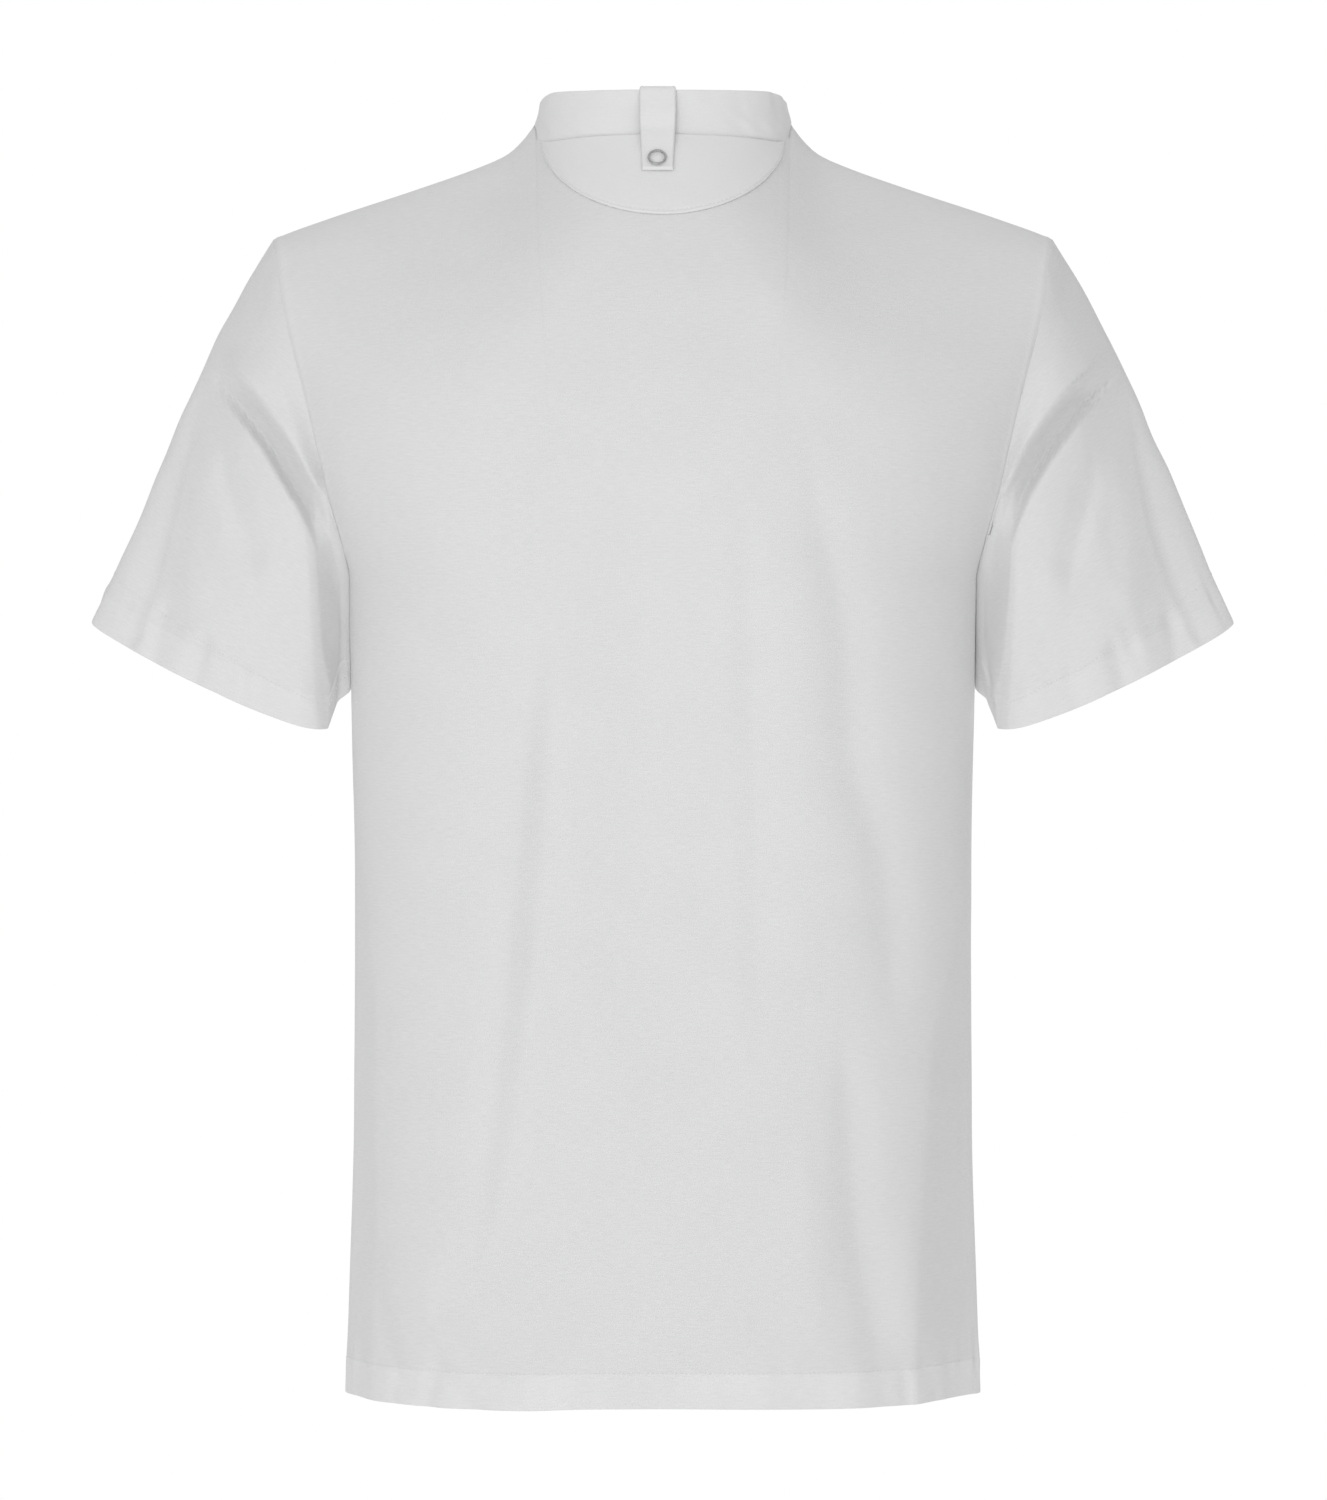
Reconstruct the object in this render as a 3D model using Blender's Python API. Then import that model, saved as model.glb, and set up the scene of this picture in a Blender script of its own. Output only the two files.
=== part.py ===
"""Chef's polo shirt with a stand collar, in the hollow shape it has when it is worn.

Metres, +Z up. The wearer faces -Y and has their left hand towards +X. The origin is the middle of the
neck, at the height where the shoulders reach the collar. Back and front are depths y over the outline seen
from behind, the sleeves are tubes from armhole to cuff, and the collar is a band on the neck seam. What lies
on a panel is made from the panel's own points, moved out.
"""
from collections import namedtuple

import bmesh
import bpy
import numpy as np

# Cloth and seams
WALL = 0.0020          # one layer of pique with its seams pressed flat
BAND_WALL = 0.0026     # two layers: collar, tab and placket
SEAM_GAP = 0.0003      # between two pieces sewn edge to edge
LAY_GAP = 0.0005       # between a panel and a piece sewn on top of it
SHARP_EDGE = 40        # degrees between faces, above which an edge is shaded sharp
NORMAL_STEP = 0.001    # how far to each side slopes are measured
TINY = 1e-6

# Body: half width of the outline from behind, and the depths on the centre lines, at each height
Level = namedtuple("Level", "z half back front")
LEVELS = (
    Level(-0.7270, 0.1840, 0.122, 0.112),   # hem
    Level(-0.6600, 0.1815, 0.125, 0.114),
    Level(-0.5700, 0.1790, 0.122, 0.116),   # hips
    Level(-0.4300, 0.1785, 0.114, 0.118),   # waist
    Level(-0.3250, 0.1805, 0.120, 0.124),
    Level(-0.2550, 0.1820, 0.128, 0.127),   # armpits
    Level(-0.2000, 0.1940, 0.131, 0.124),   # shoulder blades and chest
    Level(-0.1600, 0.2030, 0.129, 0.114),
    Level(-0.1000, 0.2180, 0.116, 0.092),
    Level(-0.0600, 0.2250, 0.100, 0.071),
    Level(-0.0200, 0.2420, 0.077, 0.058),
    Level(0.0300, 0.2600, 0.052, 0.050),    # inside the collar
)
HEM_Z = LEVELS[0].z
ARMPIT_Z = LEVELS[5].z
TIP = (0.2255, -0.0580)     # x and z where the shoulder seam meets the sleeve
SIDE_ROUNDNESS = 2.35       # exponent of the body's section
BODY_CORE = (0.3, 0.0, 1.0)  # a point scaled by this lies inside the body, behind its own part of the cloth

# Shoulder ridge: its height at each distance from the middle, and the broad form the cloth takes further down
Ridge = namedtuple("Ridge", "x z broad")
RIDGE = (
    Ridge(0.0000, 0.1030, 0.1030),
    Ridge(0.0200, 0.0960, 0.0950),
    Ridge(0.0400, 0.0755, 0.0730),
    Ridge(0.0600, 0.0420, 0.0440),
    Ridge(0.0700, 0.0170, 0.0300),
    Ridge(0.0745, 0.0085, 0.0240),   # side of the neck
    Ridge(0.0820, 0.0000, 0.0150),
    Ridge(0.0900, -0.0070, 0.0070),
    Ridge(0.1040, -0.0140, -0.0060),
    Ridge(0.1420, -0.0280, -0.0280),
    Ridge(0.1960, -0.0460, -0.0460),
    Ridge(TIP[0], TIP[1], TIP[1]),
    Ridge(0.2600, -0.0800, -0.0800),
)
BROAD_DROP = 0.080          # this far below the ridge the cloth is on the broad form
RIDGE_REACH = 0.150
RIDGE_FULLNESS = 0.62       # 1 would be a plain quarter oval, less is a narrower ridge

# Neck seam and collar top, by angle round the neck from the middle of the back
Neck = namedtuple("Neck", "angle seam top")
NECK = (
    Neck(0, -0.0016, 0.0240),
    Neck(35, -0.0022, 0.0244),
    Neck(60, -0.0026, 0.0250),
    Neck(75, 0.0010, 0.0232),
    Neck(90, 0.0085, 0.0195),
    Neck(108, 0.0000, 0.0125),
    Neck(140, -0.0370, -0.0110),
    Neck(165, -0.0560, -0.0280),
    Neck(180, -0.0600, -0.0330),
)
Oval = namedtuple("Oval", "half back front")
SEAM_OVAL = Oval(0.0745, 0.0620, 0.0540)
TOP_OVAL = Oval(0.0715, 0.0580, 0.0500)
NECK_BLEND = 0.35           # share of the yoke's height over which the cloth turns up to the neck
NECK_EDGE_RISE = 0.35       # how far the cut edge at the neck seam leans up
COLLAR_STEP = 15            # degrees between the collar's grid lines
COLLAR_OPENING = 0.5        # degrees left open at each side of the centre front
COLLAR_ROWS = 3
COLLAR_END_DROP = 0.010     # how far the rounded front corner falls

# Armholes and sleeves
ARMHOLE_BACK = 0.056        # how far the armhole reaches to the back of its ends
ARMHOLE_FRONT = 0.050
CUFF_OUTER = (0.3320, -0.2800)
CUFF_INNER = (0.1860, -0.3255)
CUFF_FORWARD = -0.012       # the sleeve hangs a little forward
CUFF_DEPTH = 0.044
CUFF_PITCH = 0.019          # the back of the cuff hangs lower than its middle by this
CUFF_SKEW = 0.008           # and it is lowest towards the body
HEAD_LEAN = (0.0324, 0.0, 0.0155)   # how the sleeve head leans out of the straight line to the cuff
SLEEVE_PUFF = 0.030
UNDERARM_CLEAR = 0.0008     # the sleeve stands off the body this far at the armpit
RINGS = 12
RING_POINTS = 24

# Grid lines of the body panels
SHOULDER_LINES = (0.42, 0.53, 0.65, 0.77, 0.87, 0.94, 0.985, 1.0)   # shares of the half width
LOWER_ROWS = 10
YOKE_ROWS = RING_POINTS // 2

# Half-moon, neck tab, placket and studs
PATCH_HALF = 0.0692
PATCH_END_Z = -0.0030
PATCH_LOW_Z = -0.0504
PATCH_GAP = 0.0009           # clears the back's facets
PATCH_END_ANGLE = 84        # the half-moon's sides stop here, where it is still a few millimetres high
PATCH_LINES = 13
PATCH_ROWS = 5
TAB_X = 0.0030              # it is sewn on a little to the wearer's left
TAB_HALF_TOP = 0.0105
TAB_HALF_END = 0.0090
TAB_LOW_ROWS = (-0.0240, -0.0160, -0.0090)
TAB_HIGH_ROWS = (0.0060, 0.0150, 0.0225)
TAB_CROWN_TURNS = (35, 90, 145)     # degrees at which it goes over the collar's top edge
TAB_INSIDE_ROWS = (0.0200, 0.0120)
TAB_INSIDE_GAP = 0.0014     # it bridges the inside of the curve
TAB_TAPER = 1.6             # it reaches its full width at 1 / this of its length
TAB_LINES = 5
PLACKET_HALF = 0.0160
PLACKET_END_Z = -0.2300
SLIT_SHARE = 0.0025         # half width of the front's slit as a share of the body's
SLIT_ROW = 4                # yoke row at which the slit ends
STUD_RADIUS = 0.0050
STUD_HOLE = 0.0031
STUD_THICK = 0.0012
STUD_SIDES = 20
STUD_GAP = 0.0005
TAB_STUD_Z = -0.0160
PLACKET_STUDS_Z = (-0.0885, -0.1473, -0.2062)

# The largest folds: a path over the outline seen from behind, half width, and depth (negative is a trough)
Fold = namedtuple("Fold", "path width depth")
BACK_FOLDS = (
    Fold(((0.064, -0.325), (0.074, -0.430), (0.082, -0.540), (0.100, -0.640), (0.128, -0.690)),
         0.022, -0.0035),
    Fold(((0.040, -0.340), (0.046, -0.450), (0.052, -0.560), (0.066, -0.680)), 0.026, 0.0025),
    Fold(((-0.098, -0.520), (-0.101, -0.600), (-0.106, -0.720)), 0.016, -0.0030),
    Fold(((-0.128, -0.560), (-0.124, -0.640), (-0.122, -0.727)), 0.018, 0.0025),
)
FRONT_FOLDS = (
    Fold(((0.090, -0.330), (0.084, -0.450), (0.092, -0.560), (0.104, -0.690)), 0.024, -0.0035),
    Fold(((-0.070, -0.380), (-0.080, -0.500), (-0.076, -0.600), (-0.092, -0.700)), 0.022, -0.0030),
)
SLEEVE_FOLDS = (
    Fold(((0.258, -0.140), (0.238, -0.165), (0.216, -0.195), (0.196, -0.235)), 0.013, -0.0065),
    Fold(((0.222, -0.150), (0.206, -0.172), (0.197, -0.200)), 0.010, 0.0030),
    Fold(((0.282, -0.170), (0.296, -0.215), (0.306, -0.270)), 0.010, -0.0025),
)
FOLD_SAMPLES = 40
FOLD_HEAD = 0.100           # folds end this far above the armpits
FOLD_FADE = 0.150           # and fade over this height
SIDE_FADE = 0.15            # share of the half width over which they fade towards the side seams
SLEEVE_FADE = 0.15          # share of the sleeve's length over which its folds grow
SLEEVE_FRONT_FOLDS = 0.35   # how strong the same folds are on the front of a sleeve

Finish = namedtuple("Finish", "name colour roughness metallic")
PIQUE = Finish("white_pique", (0.83, 0.83, 0.83), 0.85, 0.0)
BAND = Finish("white_band", (0.85, 0.85, 0.85), 0.82, 0.0)
METAL = Finish("nickel_stud", (0.62, 0.62, 0.63), 0.30, 1.0)

BACK, FRONT = 1, -1
LEFT, RIGHT = 1, -1


def column(table, name):
    """One named column of a table as an array."""
    return np.array([getattr(row, name) for row in table], dtype=float)


def smooth(at, knots, values):
    """Cubic curve through (knots, values). Its slope at a knot is the harmonic mean of the chords there."""
    at = np.clip(at, knots[0], knots[-1])
    step = np.diff(knots)
    chord = np.diff(values) / step
    product = chord[:-1] * chord[1:]
    total = np.where(product > 0, chord[:-1] + chord[1:], 1.0)
    slope = np.concatenate(([chord[0]], np.where(product > 0, 2 * product / total, 0.0), [chord[-1]]))
    cell = np.clip(np.searchsorted(knots, at, side="right") - 1, 0, len(step) - 1)
    width = step[cell]
    t = (at - knots[cell]) / width
    start = (2 * t + 1) * (1 - t) ** 2 * values[cell] + t * (1 - t) ** 2 * width * slope[cell]
    end = t * t * (3 - 2 * t) * values[cell + 1] - t * t * (1 - t) * width * slope[cell + 1]
    return start + end


def ease(t):
    """0 to 1 with flat ends."""
    t = np.clip(t, 0.0, 1.0)
    return t * t * (3 - 2 * t)


def unit(vectors):
    return vectors / np.linalg.norm(vectors, axis=-1, keepdims=True)


def level(z, name):
    """A column of the body's levels at height z."""
    return smooth(z, column(LEVELS, "z"), column(LEVELS, name))


def ridge(x, name="z"):
    """Height of the shoulder ridge, or of its broad form, at a distance x from the middle."""
    return smooth(np.abs(x), column(RIDGE, "x"), column(RIDGE, name))


def neck(angle, name):
    """A column of the neck table at an angle in degrees from the middle of the back."""
    return smooth(np.abs(angle), column(NECK, "angle"), column(NECK, name))


def on_oval(angle, oval, z):
    """Points of an oval round the neck: x = half * sin(angle), y = back or front * cos(angle)."""
    turn = np.radians(angle)
    reach = np.where(np.cos(turn) > 0, oval.back, oval.front)
    return np.stack([oval.half * np.sin(turn), reach * np.cos(turn), z], axis=-1)


def seam_angle(x, side):
    """Angle round the neck at which the neck seam passes x, on the back or the front."""
    near = np.degrees(np.arcsin(np.clip(np.abs(x) / SEAM_OVAL.half, 0, 1)))
    return near if side == BACK else 180 - near


def top_line(x, side):
    """Height of a panel's top edge: the neck seam, then the shoulder seam."""
    return np.where(np.abs(x) < SEAM_OVAL.half, neck(seam_angle(x, side), "seam"), ridge(x))


def domed(x, z, side):
    """Centre depth at height z, rounded over to nothing where the cloth reaches the shoulder ridge."""
    drop = ridge(x) - z
    drop = drop + (ridge(x, "broad") - ridge(x)) * ease(drop / BROAD_DROP)
    below = 1 - np.clip(drop / RIDGE_REACH, 0, 1)
    quarter = 1 - below * below
    centre = level(z, "back" if side == BACK else "front")
    return centre * np.sqrt(quarter) * (RIDGE_FULLNESS + (1 - RIDGE_FULLNESS) * quarter)


def reach(x, z, side):
    """How far the cloth stands from the x-z plane, before it turns up to the neck.

    Below the armpits a level section is the oval |x / half|^n + |y / depth|^n = 1. Above them the oval is
    wider than the panel, so that at the panel's edge it has the armhole's half depth.
    """
    half = level(z, "half")
    middle = (ARMPIT_Z + TIP[1]) / 2
    height = np.clip((z - middle) / (TIP[1] - middle), -1, 1)
    armhole = (ARMHOLE_BACK if side == BACK else ARMHOLE_FRONT) * np.sqrt(1 - height * height)
    edge = np.where(z < TIP[1], armhole / np.maximum(domed(half, z, side), TINY), 1.0)
    edge = np.clip(edge, 0, 1) * (z > ARMPIT_Z)
    narrowing = np.clip(np.abs(x) / half, 0, 1) ** SIDE_ROUNDNESS * (1 - edge ** SIDE_ROUNDNESS)
    return domed(x, z, side) * (1 - narrowing) ** (1 / SIDE_ROUNDNESS)


def cloth_y(x, z, side):
    """y of the back or front cloth: its reach, turned up to the neck seam near the neck."""
    top = top_line(x, side)
    climb = (z - ARMPIT_Z) / (top - ARMPIT_Z)
    turned = np.clip((climb - (1 - NECK_BLEND)) / NECK_BLEND, 0, 1) ** 2 * (np.abs(x) < SEAM_OVAL.half)
    seam_y = np.abs(on_oval(seam_angle(x, side), SEAM_OVAL, top)[..., 1])
    return side * (reach(x, z, side) + (seam_y - reach(x, top, side)) * turned)


def on_cloth(x, z, side, out=0.0):
    """Points of the back or front cloth, moved out along its normal."""
    y = cloth_y(x, z, side)
    slope_x = (cloth_y(x + NORMAL_STEP, z, side) - cloth_y(x - NORMAL_STEP, z, side)) / (2 * NORMAL_STEP)
    slope_z = (y - cloth_y(x, z - NORMAL_STEP, side)) / NORMAL_STEP
    normal = unit(np.stack([-slope_x, np.ones_like(x), -slope_z], axis=-1)) * side
    return np.stack([x, y, z], axis=-1) + normal * out


def fold_lift(x, z, folds):
    """Sum of soft ridges and troughs: depth * exp(-(distance / width)^2), fading at the path's ends."""
    total = np.zeros_like(x)
    along = np.linspace(0, 1, FOLD_SAMPLES)
    for fold in folds:
        path = np.array(fold.path)
        knots = np.linspace(0, 1, len(path))
        line_x = smooth(along, knots, path[:, 0])
        line_z = smooth(along, knots, path[:, 1])
        distance = np.hypot(x[..., None] - line_x, z[..., None] - line_z)
        fade = np.sqrt(np.sin(np.pi * along[np.argmin(distance, axis=-1)]).clip(0, 1))
        total += fold.depth * fade * np.exp(-(distance.min(axis=-1) / fold.width) ** 2)
    return total


def grid_normals(points, middle, wraps=False):
    """Normals of a grid, from the cross product of its two directions, turned away from the middle."""
    down = np.gradient(points, axis=0)
    along = np.gradient(points, axis=1)
    if wraps:
        along = np.roll(points, -1, axis=1) - np.roll(points, 1, axis=1)
    normals = unit(np.cross(down, along))
    inward = np.sum(normals * (points - middle), axis=-1, keepdims=True) < 0
    return np.where(inward, -normals, normals)


def across_lines():
    """Grid lines across a panel as shares of its half width: even angles in the neck, then the shoulders."""
    angles = np.radians(np.arange(0, 90 + COLLAR_STEP, COLLAR_STEP))
    half = np.concatenate([np.sin(angles) * SEAM_OVAL.half / TIP[0], SHOULDER_LINES])
    return np.concatenate([-half[:0:-1], half])


def yoke_climbs():
    """Heights of the yoke's rows, where the sleeve's ring points are, as shares from armpits to top."""
    return (1 + np.cos(np.linspace(np.pi, 0, YOKE_ROWS + 1))) / 2


def panel_grid(side):
    """Points of the back or front: rows from hem to top, columns from the wearer's right to their left."""
    share = across_lines()
    if side == FRONT:
        middle = len(share) // 2
        share = np.concatenate([share[:middle], [-SLIT_SHARE, SLIT_SHARE], share[middle + 1:]])
    rows = []
    for z in np.linspace(HEM_Z, ARMPIT_Z, LOWER_ROWS + 1)[:-1]:
        rows.append((share * level(z, "half"), np.full_like(share, z)))
    top = top_line(share * TIP[0], side)
    for climb in yoke_climbs():
        edge_z = ARMPIT_Z + (TIP[1] - ARMPIT_Z) * climb
        half = TIP[0] if climb == 1 else level(edge_z, "half")
        rows.append((share * half, ARMPIT_Z + (top - ARMPIT_Z) * climb))
    x = np.array([row[0] for row in rows])
    z = np.array([row[1] for row in rows])
    return np.stack([x, cloth_y(x, z, side), z], axis=-1)


def ring_turns():
    """Angles round a sleeve: from the top over the back, the underside and the front."""
    return np.linspace(0, 2 * np.pi, RING_POINTS, endpoint=False)


def armhole_ring():
    """Points of the left armhole, on the side edges of the panels."""
    turn = ring_turns()
    z = ARMPIT_Z + (TIP[1] - ARMPIT_Z) * (1 + np.cos(turn)) / 2
    x = level(z, "half")
    x[0] = TIP[0]
    y = np.where(np.sin(turn) >= 0, reach(x, z, BACK), -reach(x, z, FRONT))
    x = x + UNDERARM_CLEAR * (1 - np.cos(turn)) / 2
    return np.stack([x, y, z], axis=-1)


def cuff_ring():
    """The left cuff: an oval whose back hangs lower, and lowest towards the body."""
    turn = ring_turns()
    share = (1 + np.cos(turn)) / 2
    x = CUFF_INNER[0] + (CUFF_OUTER[0] - CUFF_INNER[0]) * share
    z = CUFF_INNER[1] + (CUFF_OUTER[1] - CUFF_INNER[1]) * share
    z = z - CUFF_PITCH * np.sin(turn) + CUFF_SKEW * np.sin(2 * turn) * (np.sin(turn) > 0)
    return np.stack([x, CUFF_FORWARD + CUFF_DEPTH * np.sin(turn), z], axis=-1)


def sleeve_grid():
    """Rings of the left sleeve. Each point follows a cubic that leaves the armhole leaning out and puffed."""
    turn = ring_turns()
    start = armhole_ring()
    chord = cuff_ring() - start
    lean = np.clip(np.cos(turn), 0, 1)[:, None] * HEAD_LEAN
    puff = np.stack([0 * turn, SLEEVE_PUFF * np.sin(turn), 0 * turn], axis=-1)
    s = np.linspace(0, 1, RINGS + 1)[:, None, None]
    straight = start + chord * s
    return straight + (lean + puff) * s * (1 - s) ** 2


def pull_in(points, edge, inner):
    """Draws an edge row of a grid back along the surface by half a seam gap. edge and inner are the rows."""
    points[edge] += unit(points[inner] - points[edge]) * SEAM_GAP / 2


def walled(outer, inner, wraps=False, kept=None):
    """Points and faces of a closed wall between two grids. kept masks the cells that exist.

    Each rim quad is cut along the diagonal that starts at its lower outer corner, so that the rims of two pieces
    sewn together have the same facets.
    """
    rows, cols = outer.shape[:2]
    index = np.arange(rows * cols).reshape(rows, cols)
    right = np.roll(index, -1, axis=1) if wraps else index[:, 1:]
    left = index if wraps else index[:, :-1]
    cells = np.stack([left[:-1], right[:-1], right[1:], left[1:]], axis=-1)
    cells = cells.reshape(-1, 4) if kept is None else cells[kept]
    points = np.concatenate([outer.reshape(-1, 3), inner.reshape(-1, 3)])
    edges = np.concatenate([cells[:, [k, (k + 1) % 4]] for k in range(4)]).tolist()
    shared = {(end, start) for start, end in edges}
    twin = rows * cols
    rim = []
    for start, end in edges:
        if (start, end) in shared:
            continue
        if points[start, 2] <= points[end, 2]:
            rim += [(end, start, end + twin), (start, start + twin, end + twin)]
        else:
            rim += [(end, start, start + twin), (end, start + twin, end + twin)]
    return points, cells.tolist() + (cells[:, ::-1] + twin).tolist() + rim


def material(finish):
    """The Principled material of a finish, made once."""
    made = bpy.data.materials.get(finish.name)
    if made is None:
        made = bpy.data.materials.new(finish.name)
        made.use_nodes = True
        shader = made.node_tree.nodes["Principled BSDF"]
        shader.inputs["Base Color"].default_value = (*finish.colour, 1.0)
        shader.inputs["Roughness"].default_value = finish.roughness
        shader.inputs["Metallic"].default_value = finish.metallic
    return made


def add_piece(name, points, faces, finish):
    """A named object from points and faces, with loose points dropped and its faces turned outwards."""
    mesh = bpy.data.meshes.new(name)
    mesh.from_pydata(points.tolist(), [], faces)
    shape = bmesh.new()
    shape.from_mesh(mesh)
    loose = [point for point in shape.verts if not point.link_faces]
    bmesh.ops.delete(shape, geom=loose, context="VERTS")
    bmesh.ops.recalc_face_normals(shape, faces=shape.faces)
    shape.to_mesh(mesh)
    shape.free()
    mesh.materials.append(material(finish))
    mesh.shade_smooth()
    mesh.set_sharp_from_angle(angle=np.radians(SHARP_EDGE))
    piece = bpy.data.objects.new(name, mesh)
    bpy.context.scene.collection.objects.link(piece)
    return piece


def neck_out(angle):
    """Direction of the cut edge all round the neck seam: level and outwards, leaning up a little."""
    turn = np.radians(angle)
    return unit(np.stack([np.sin(turn), np.cos(turn), NECK_EDGE_RISE + 0 * turn], axis=-1))


def panel_normals(points, side):
    """Wall directions of a panel. Along each seam they are those of the piece that is sewn on there."""
    normals = grid_normals(points, points * BODY_CORE)
    normals[:LOWER_ROWS + 1, 0] = (-1, 0, 0)
    normals[:LOWER_ROWS + 1, -1] = (1, 0, 0)
    x = points[-1, :, 0]
    slope = (ridge(x + NORMAL_STEP) - ridge(x - NORMAL_STEP)) / (2 * NORMAL_STEP)
    shoulder = unit(np.stack([-slope, 0 * x, 1 + 0 * x], axis=-1))
    angle = seam_angle(x, side) * np.where(x < 0, -1, 1)
    on_neck = np.abs(x) < SEAM_OVAL.half + SEAM_GAP
    normals[-1] = np.where(on_neck[:, None], neck_out(angle), shoulder)
    turn = np.linspace(np.pi, 0, YOKE_ROWS + 1)
    armhole = np.stack([0 * turn, side * np.sin(turn), np.cos(turn)], axis=-1)
    normals[LOWER_ROWS:, 0] = armhole
    normals[LOWER_ROWS:, -1] = armhole
    return normals


def build_panel(name, side, folds):
    """Back or front of the body: one wall, folded below the chest and held flat at its seams."""
    points = panel_grid(side)
    normals = panel_normals(points, side)
    x, z = points[..., 0], points[..., 2]
    free = ease((ARMPIT_Z + FOLD_HEAD - z) / FOLD_FADE) * ease((1 - np.abs(x) / level(z, "half")) / SIDE_FADE)
    points += normals * (fold_lift(x, z, folds) * free)[..., None]
    pull_in(points, np.s_[-1], np.s_[-2])
    pull_in(points, np.s_[:, 0], np.s_[:, 1])
    pull_in(points, np.s_[:, -1], np.s_[:, -2])
    kept = np.ones((points.shape[0] - 1, points.shape[1] - 1), dtype=bool)
    if side == FRONT:
        kept[LOWER_ROWS + SLIT_ROW:, kept.shape[1] // 2] = False
    add_piece(name, *walled(points, points - normals * WALL, kept=kept), PIQUE)


def build_sleeve(name, hand):
    """One sleeve: a tube with its folds on the back, fainter ones on the front, and none at the armhole."""
    points = sleeve_grid()
    normals = grid_normals(points, points.mean(axis=1, keepdims=True), wraps=True)
    turn = ring_turns()
    normals[0] = np.stack([0 * turn, np.sin(turn), np.cos(turn)], axis=-1)
    s = np.linspace(0, 1, RINGS + 1)[:, None]
    free = ease(s / SLEEVE_FADE) * np.where(np.sin(turn) > 0, 1.0, SLEEVE_FRONT_FOLDS)
    points += normals * (fold_lift(points[..., 0], points[..., 2], SLEEVE_FOLDS) * free)[..., None]
    pull_in(points, np.s_[0], np.s_[1])
    mirror = np.array([hand, 1, 1])
    add_piece(name, *walled(points * mirror, (points - normals * WALL) * mirror, wraps=True), PIQUE)


def collar_surface(angle, climb, out=0.0):
    """Points of the collar's outer face from the neck seam (climb 0) to its top (climb 1), moved out."""
    seam = on_oval(angle, SEAM_OVAL, neck(angle, "seam"))
    top = on_oval(angle, TOP_OVAL, neck(angle, "top"))
    turn = np.radians(angle)
    level_out = np.stack([np.sin(turn), np.cos(turn), 0 * turn], axis=-1)
    return seam + (top - seam) * climb + level_out * out


def build_collar():
    """Stand collar: a band of two layers round the neck, open at the centre front with rounded corners."""
    angle = np.arange(-180, 180 + COLLAR_STEP, COLLAR_STEP, dtype=float)
    angle[0] += COLLAR_OPENING
    angle[-1] -= COLLAR_OPENING
    rows = np.linspace(0, 1, COLLAR_ROWS + 1)
    points = np.stack([collar_surface(angle, climb) for climb in rows])
    for end in (0, -1):
        points[:, end, 2] -= COLLAR_END_DROP * rows ** 2
    normals = grid_normals(points, points * [0, 0, 1])
    normals[0] = neck_out(angle)
    pull_in(points, np.s_[0], np.s_[1])
    add_piece("collar", *walled(points, points - normals * BAND_WALL), BAND)


def build_patch():
    """Half-moon on the back neck: straight under the collar, oval below, made from the back's points."""
    angle = np.radians(np.linspace(-PATCH_END_ANGLE, PATCH_END_ANGLE, PATCH_LINES))
    x = PATCH_HALF * np.sin(angle)
    low = PATCH_END_Z + (PATCH_LOW_Z - PATCH_END_Z) * np.cos(angle)
    high = top_line(x, BACK) - LAY_GAP
    share = np.linspace(0, 1, PATCH_ROWS)[:, None]
    z = low + (high - low) * share
    x = x + 0 * z
    inner = on_cloth(x, z, BACK, PATCH_GAP)
    outer = on_cloth(x, z, BACK, PATCH_GAP + WALL)
    add_piece("neck_half_moon", *walled(outer, inner), BAND)


def tab_base(x):
    """y and z of the tab's inner face at x: up the half-moon and the collar, over its top and inside it."""
    angle = np.degrees(np.arcsin(x / SEAM_OVAL.half))
    rows = [on_cloth(x, 0 * x + z, BACK, PATCH_GAP + WALL + LAY_GAP) for z in TAB_LOW_ROWS]
    seam, top = neck(angle, "seam"), neck(angle, "top")
    for z in TAB_HIGH_ROWS:
        rows.append(collar_surface(angle, ((z - seam) / (top - seam))[:, None], LAY_GAP))
    crown = collar_surface(angle, np.ones((len(x), 1)), -BAND_WALL / 2)
    radius = BAND_WALL / 2 + LAY_GAP
    for turn in np.radians(TAB_CROWN_TURNS):
        inside = TAB_INSIDE_GAP - LAY_GAP if turn > np.pi / 2 else 0.0
        rise = LAY_GAP + radius * np.sin(turn) / 2
        rows.append(crown + np.array([0, radius * np.cos(turn) - inside, rise]))
    for z in TAB_INSIDE_ROWS:
        climb = (z - seam) / (top - seam)
        rows.append(collar_surface(angle, climb[:, None], -BAND_WALL - TAB_INSIDE_GAP))
    base = np.stack(rows)
    base[..., 0] = x
    return base


def build_tab():
    """Neck tab: a strip of two layers sewn inside the collar, folded over its top onto the half-moon."""
    share = np.linspace(-1, 1, TAB_LINES)
    wide = tab_base(TAB_X + TAB_HALF_TOP * share)
    narrow = tab_base(TAB_X + TAB_HALF_END * share)
    taper = ease(np.linspace(0, TAB_TAPER, len(wide)))[:, None, None]
    base = narrow + (wide - narrow) * taper
    along = np.gradient(base, axis=0)
    out = unit(np.stack([0 * along[..., 0], along[..., 2], -along[..., 1]], axis=-1))
    add_piece("neck_tab", *walled(base + out * BAND_WALL, base), BAND)
    middle = len(share) // 2
    row = TAB_LOW_ROWS.index(TAB_STUD_Z)
    seat = base[row, middle] + out[row, middle] * (BAND_WALL + SEAM_GAP)
    build_stud("tab_stud", seat, out[row, middle])


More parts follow.
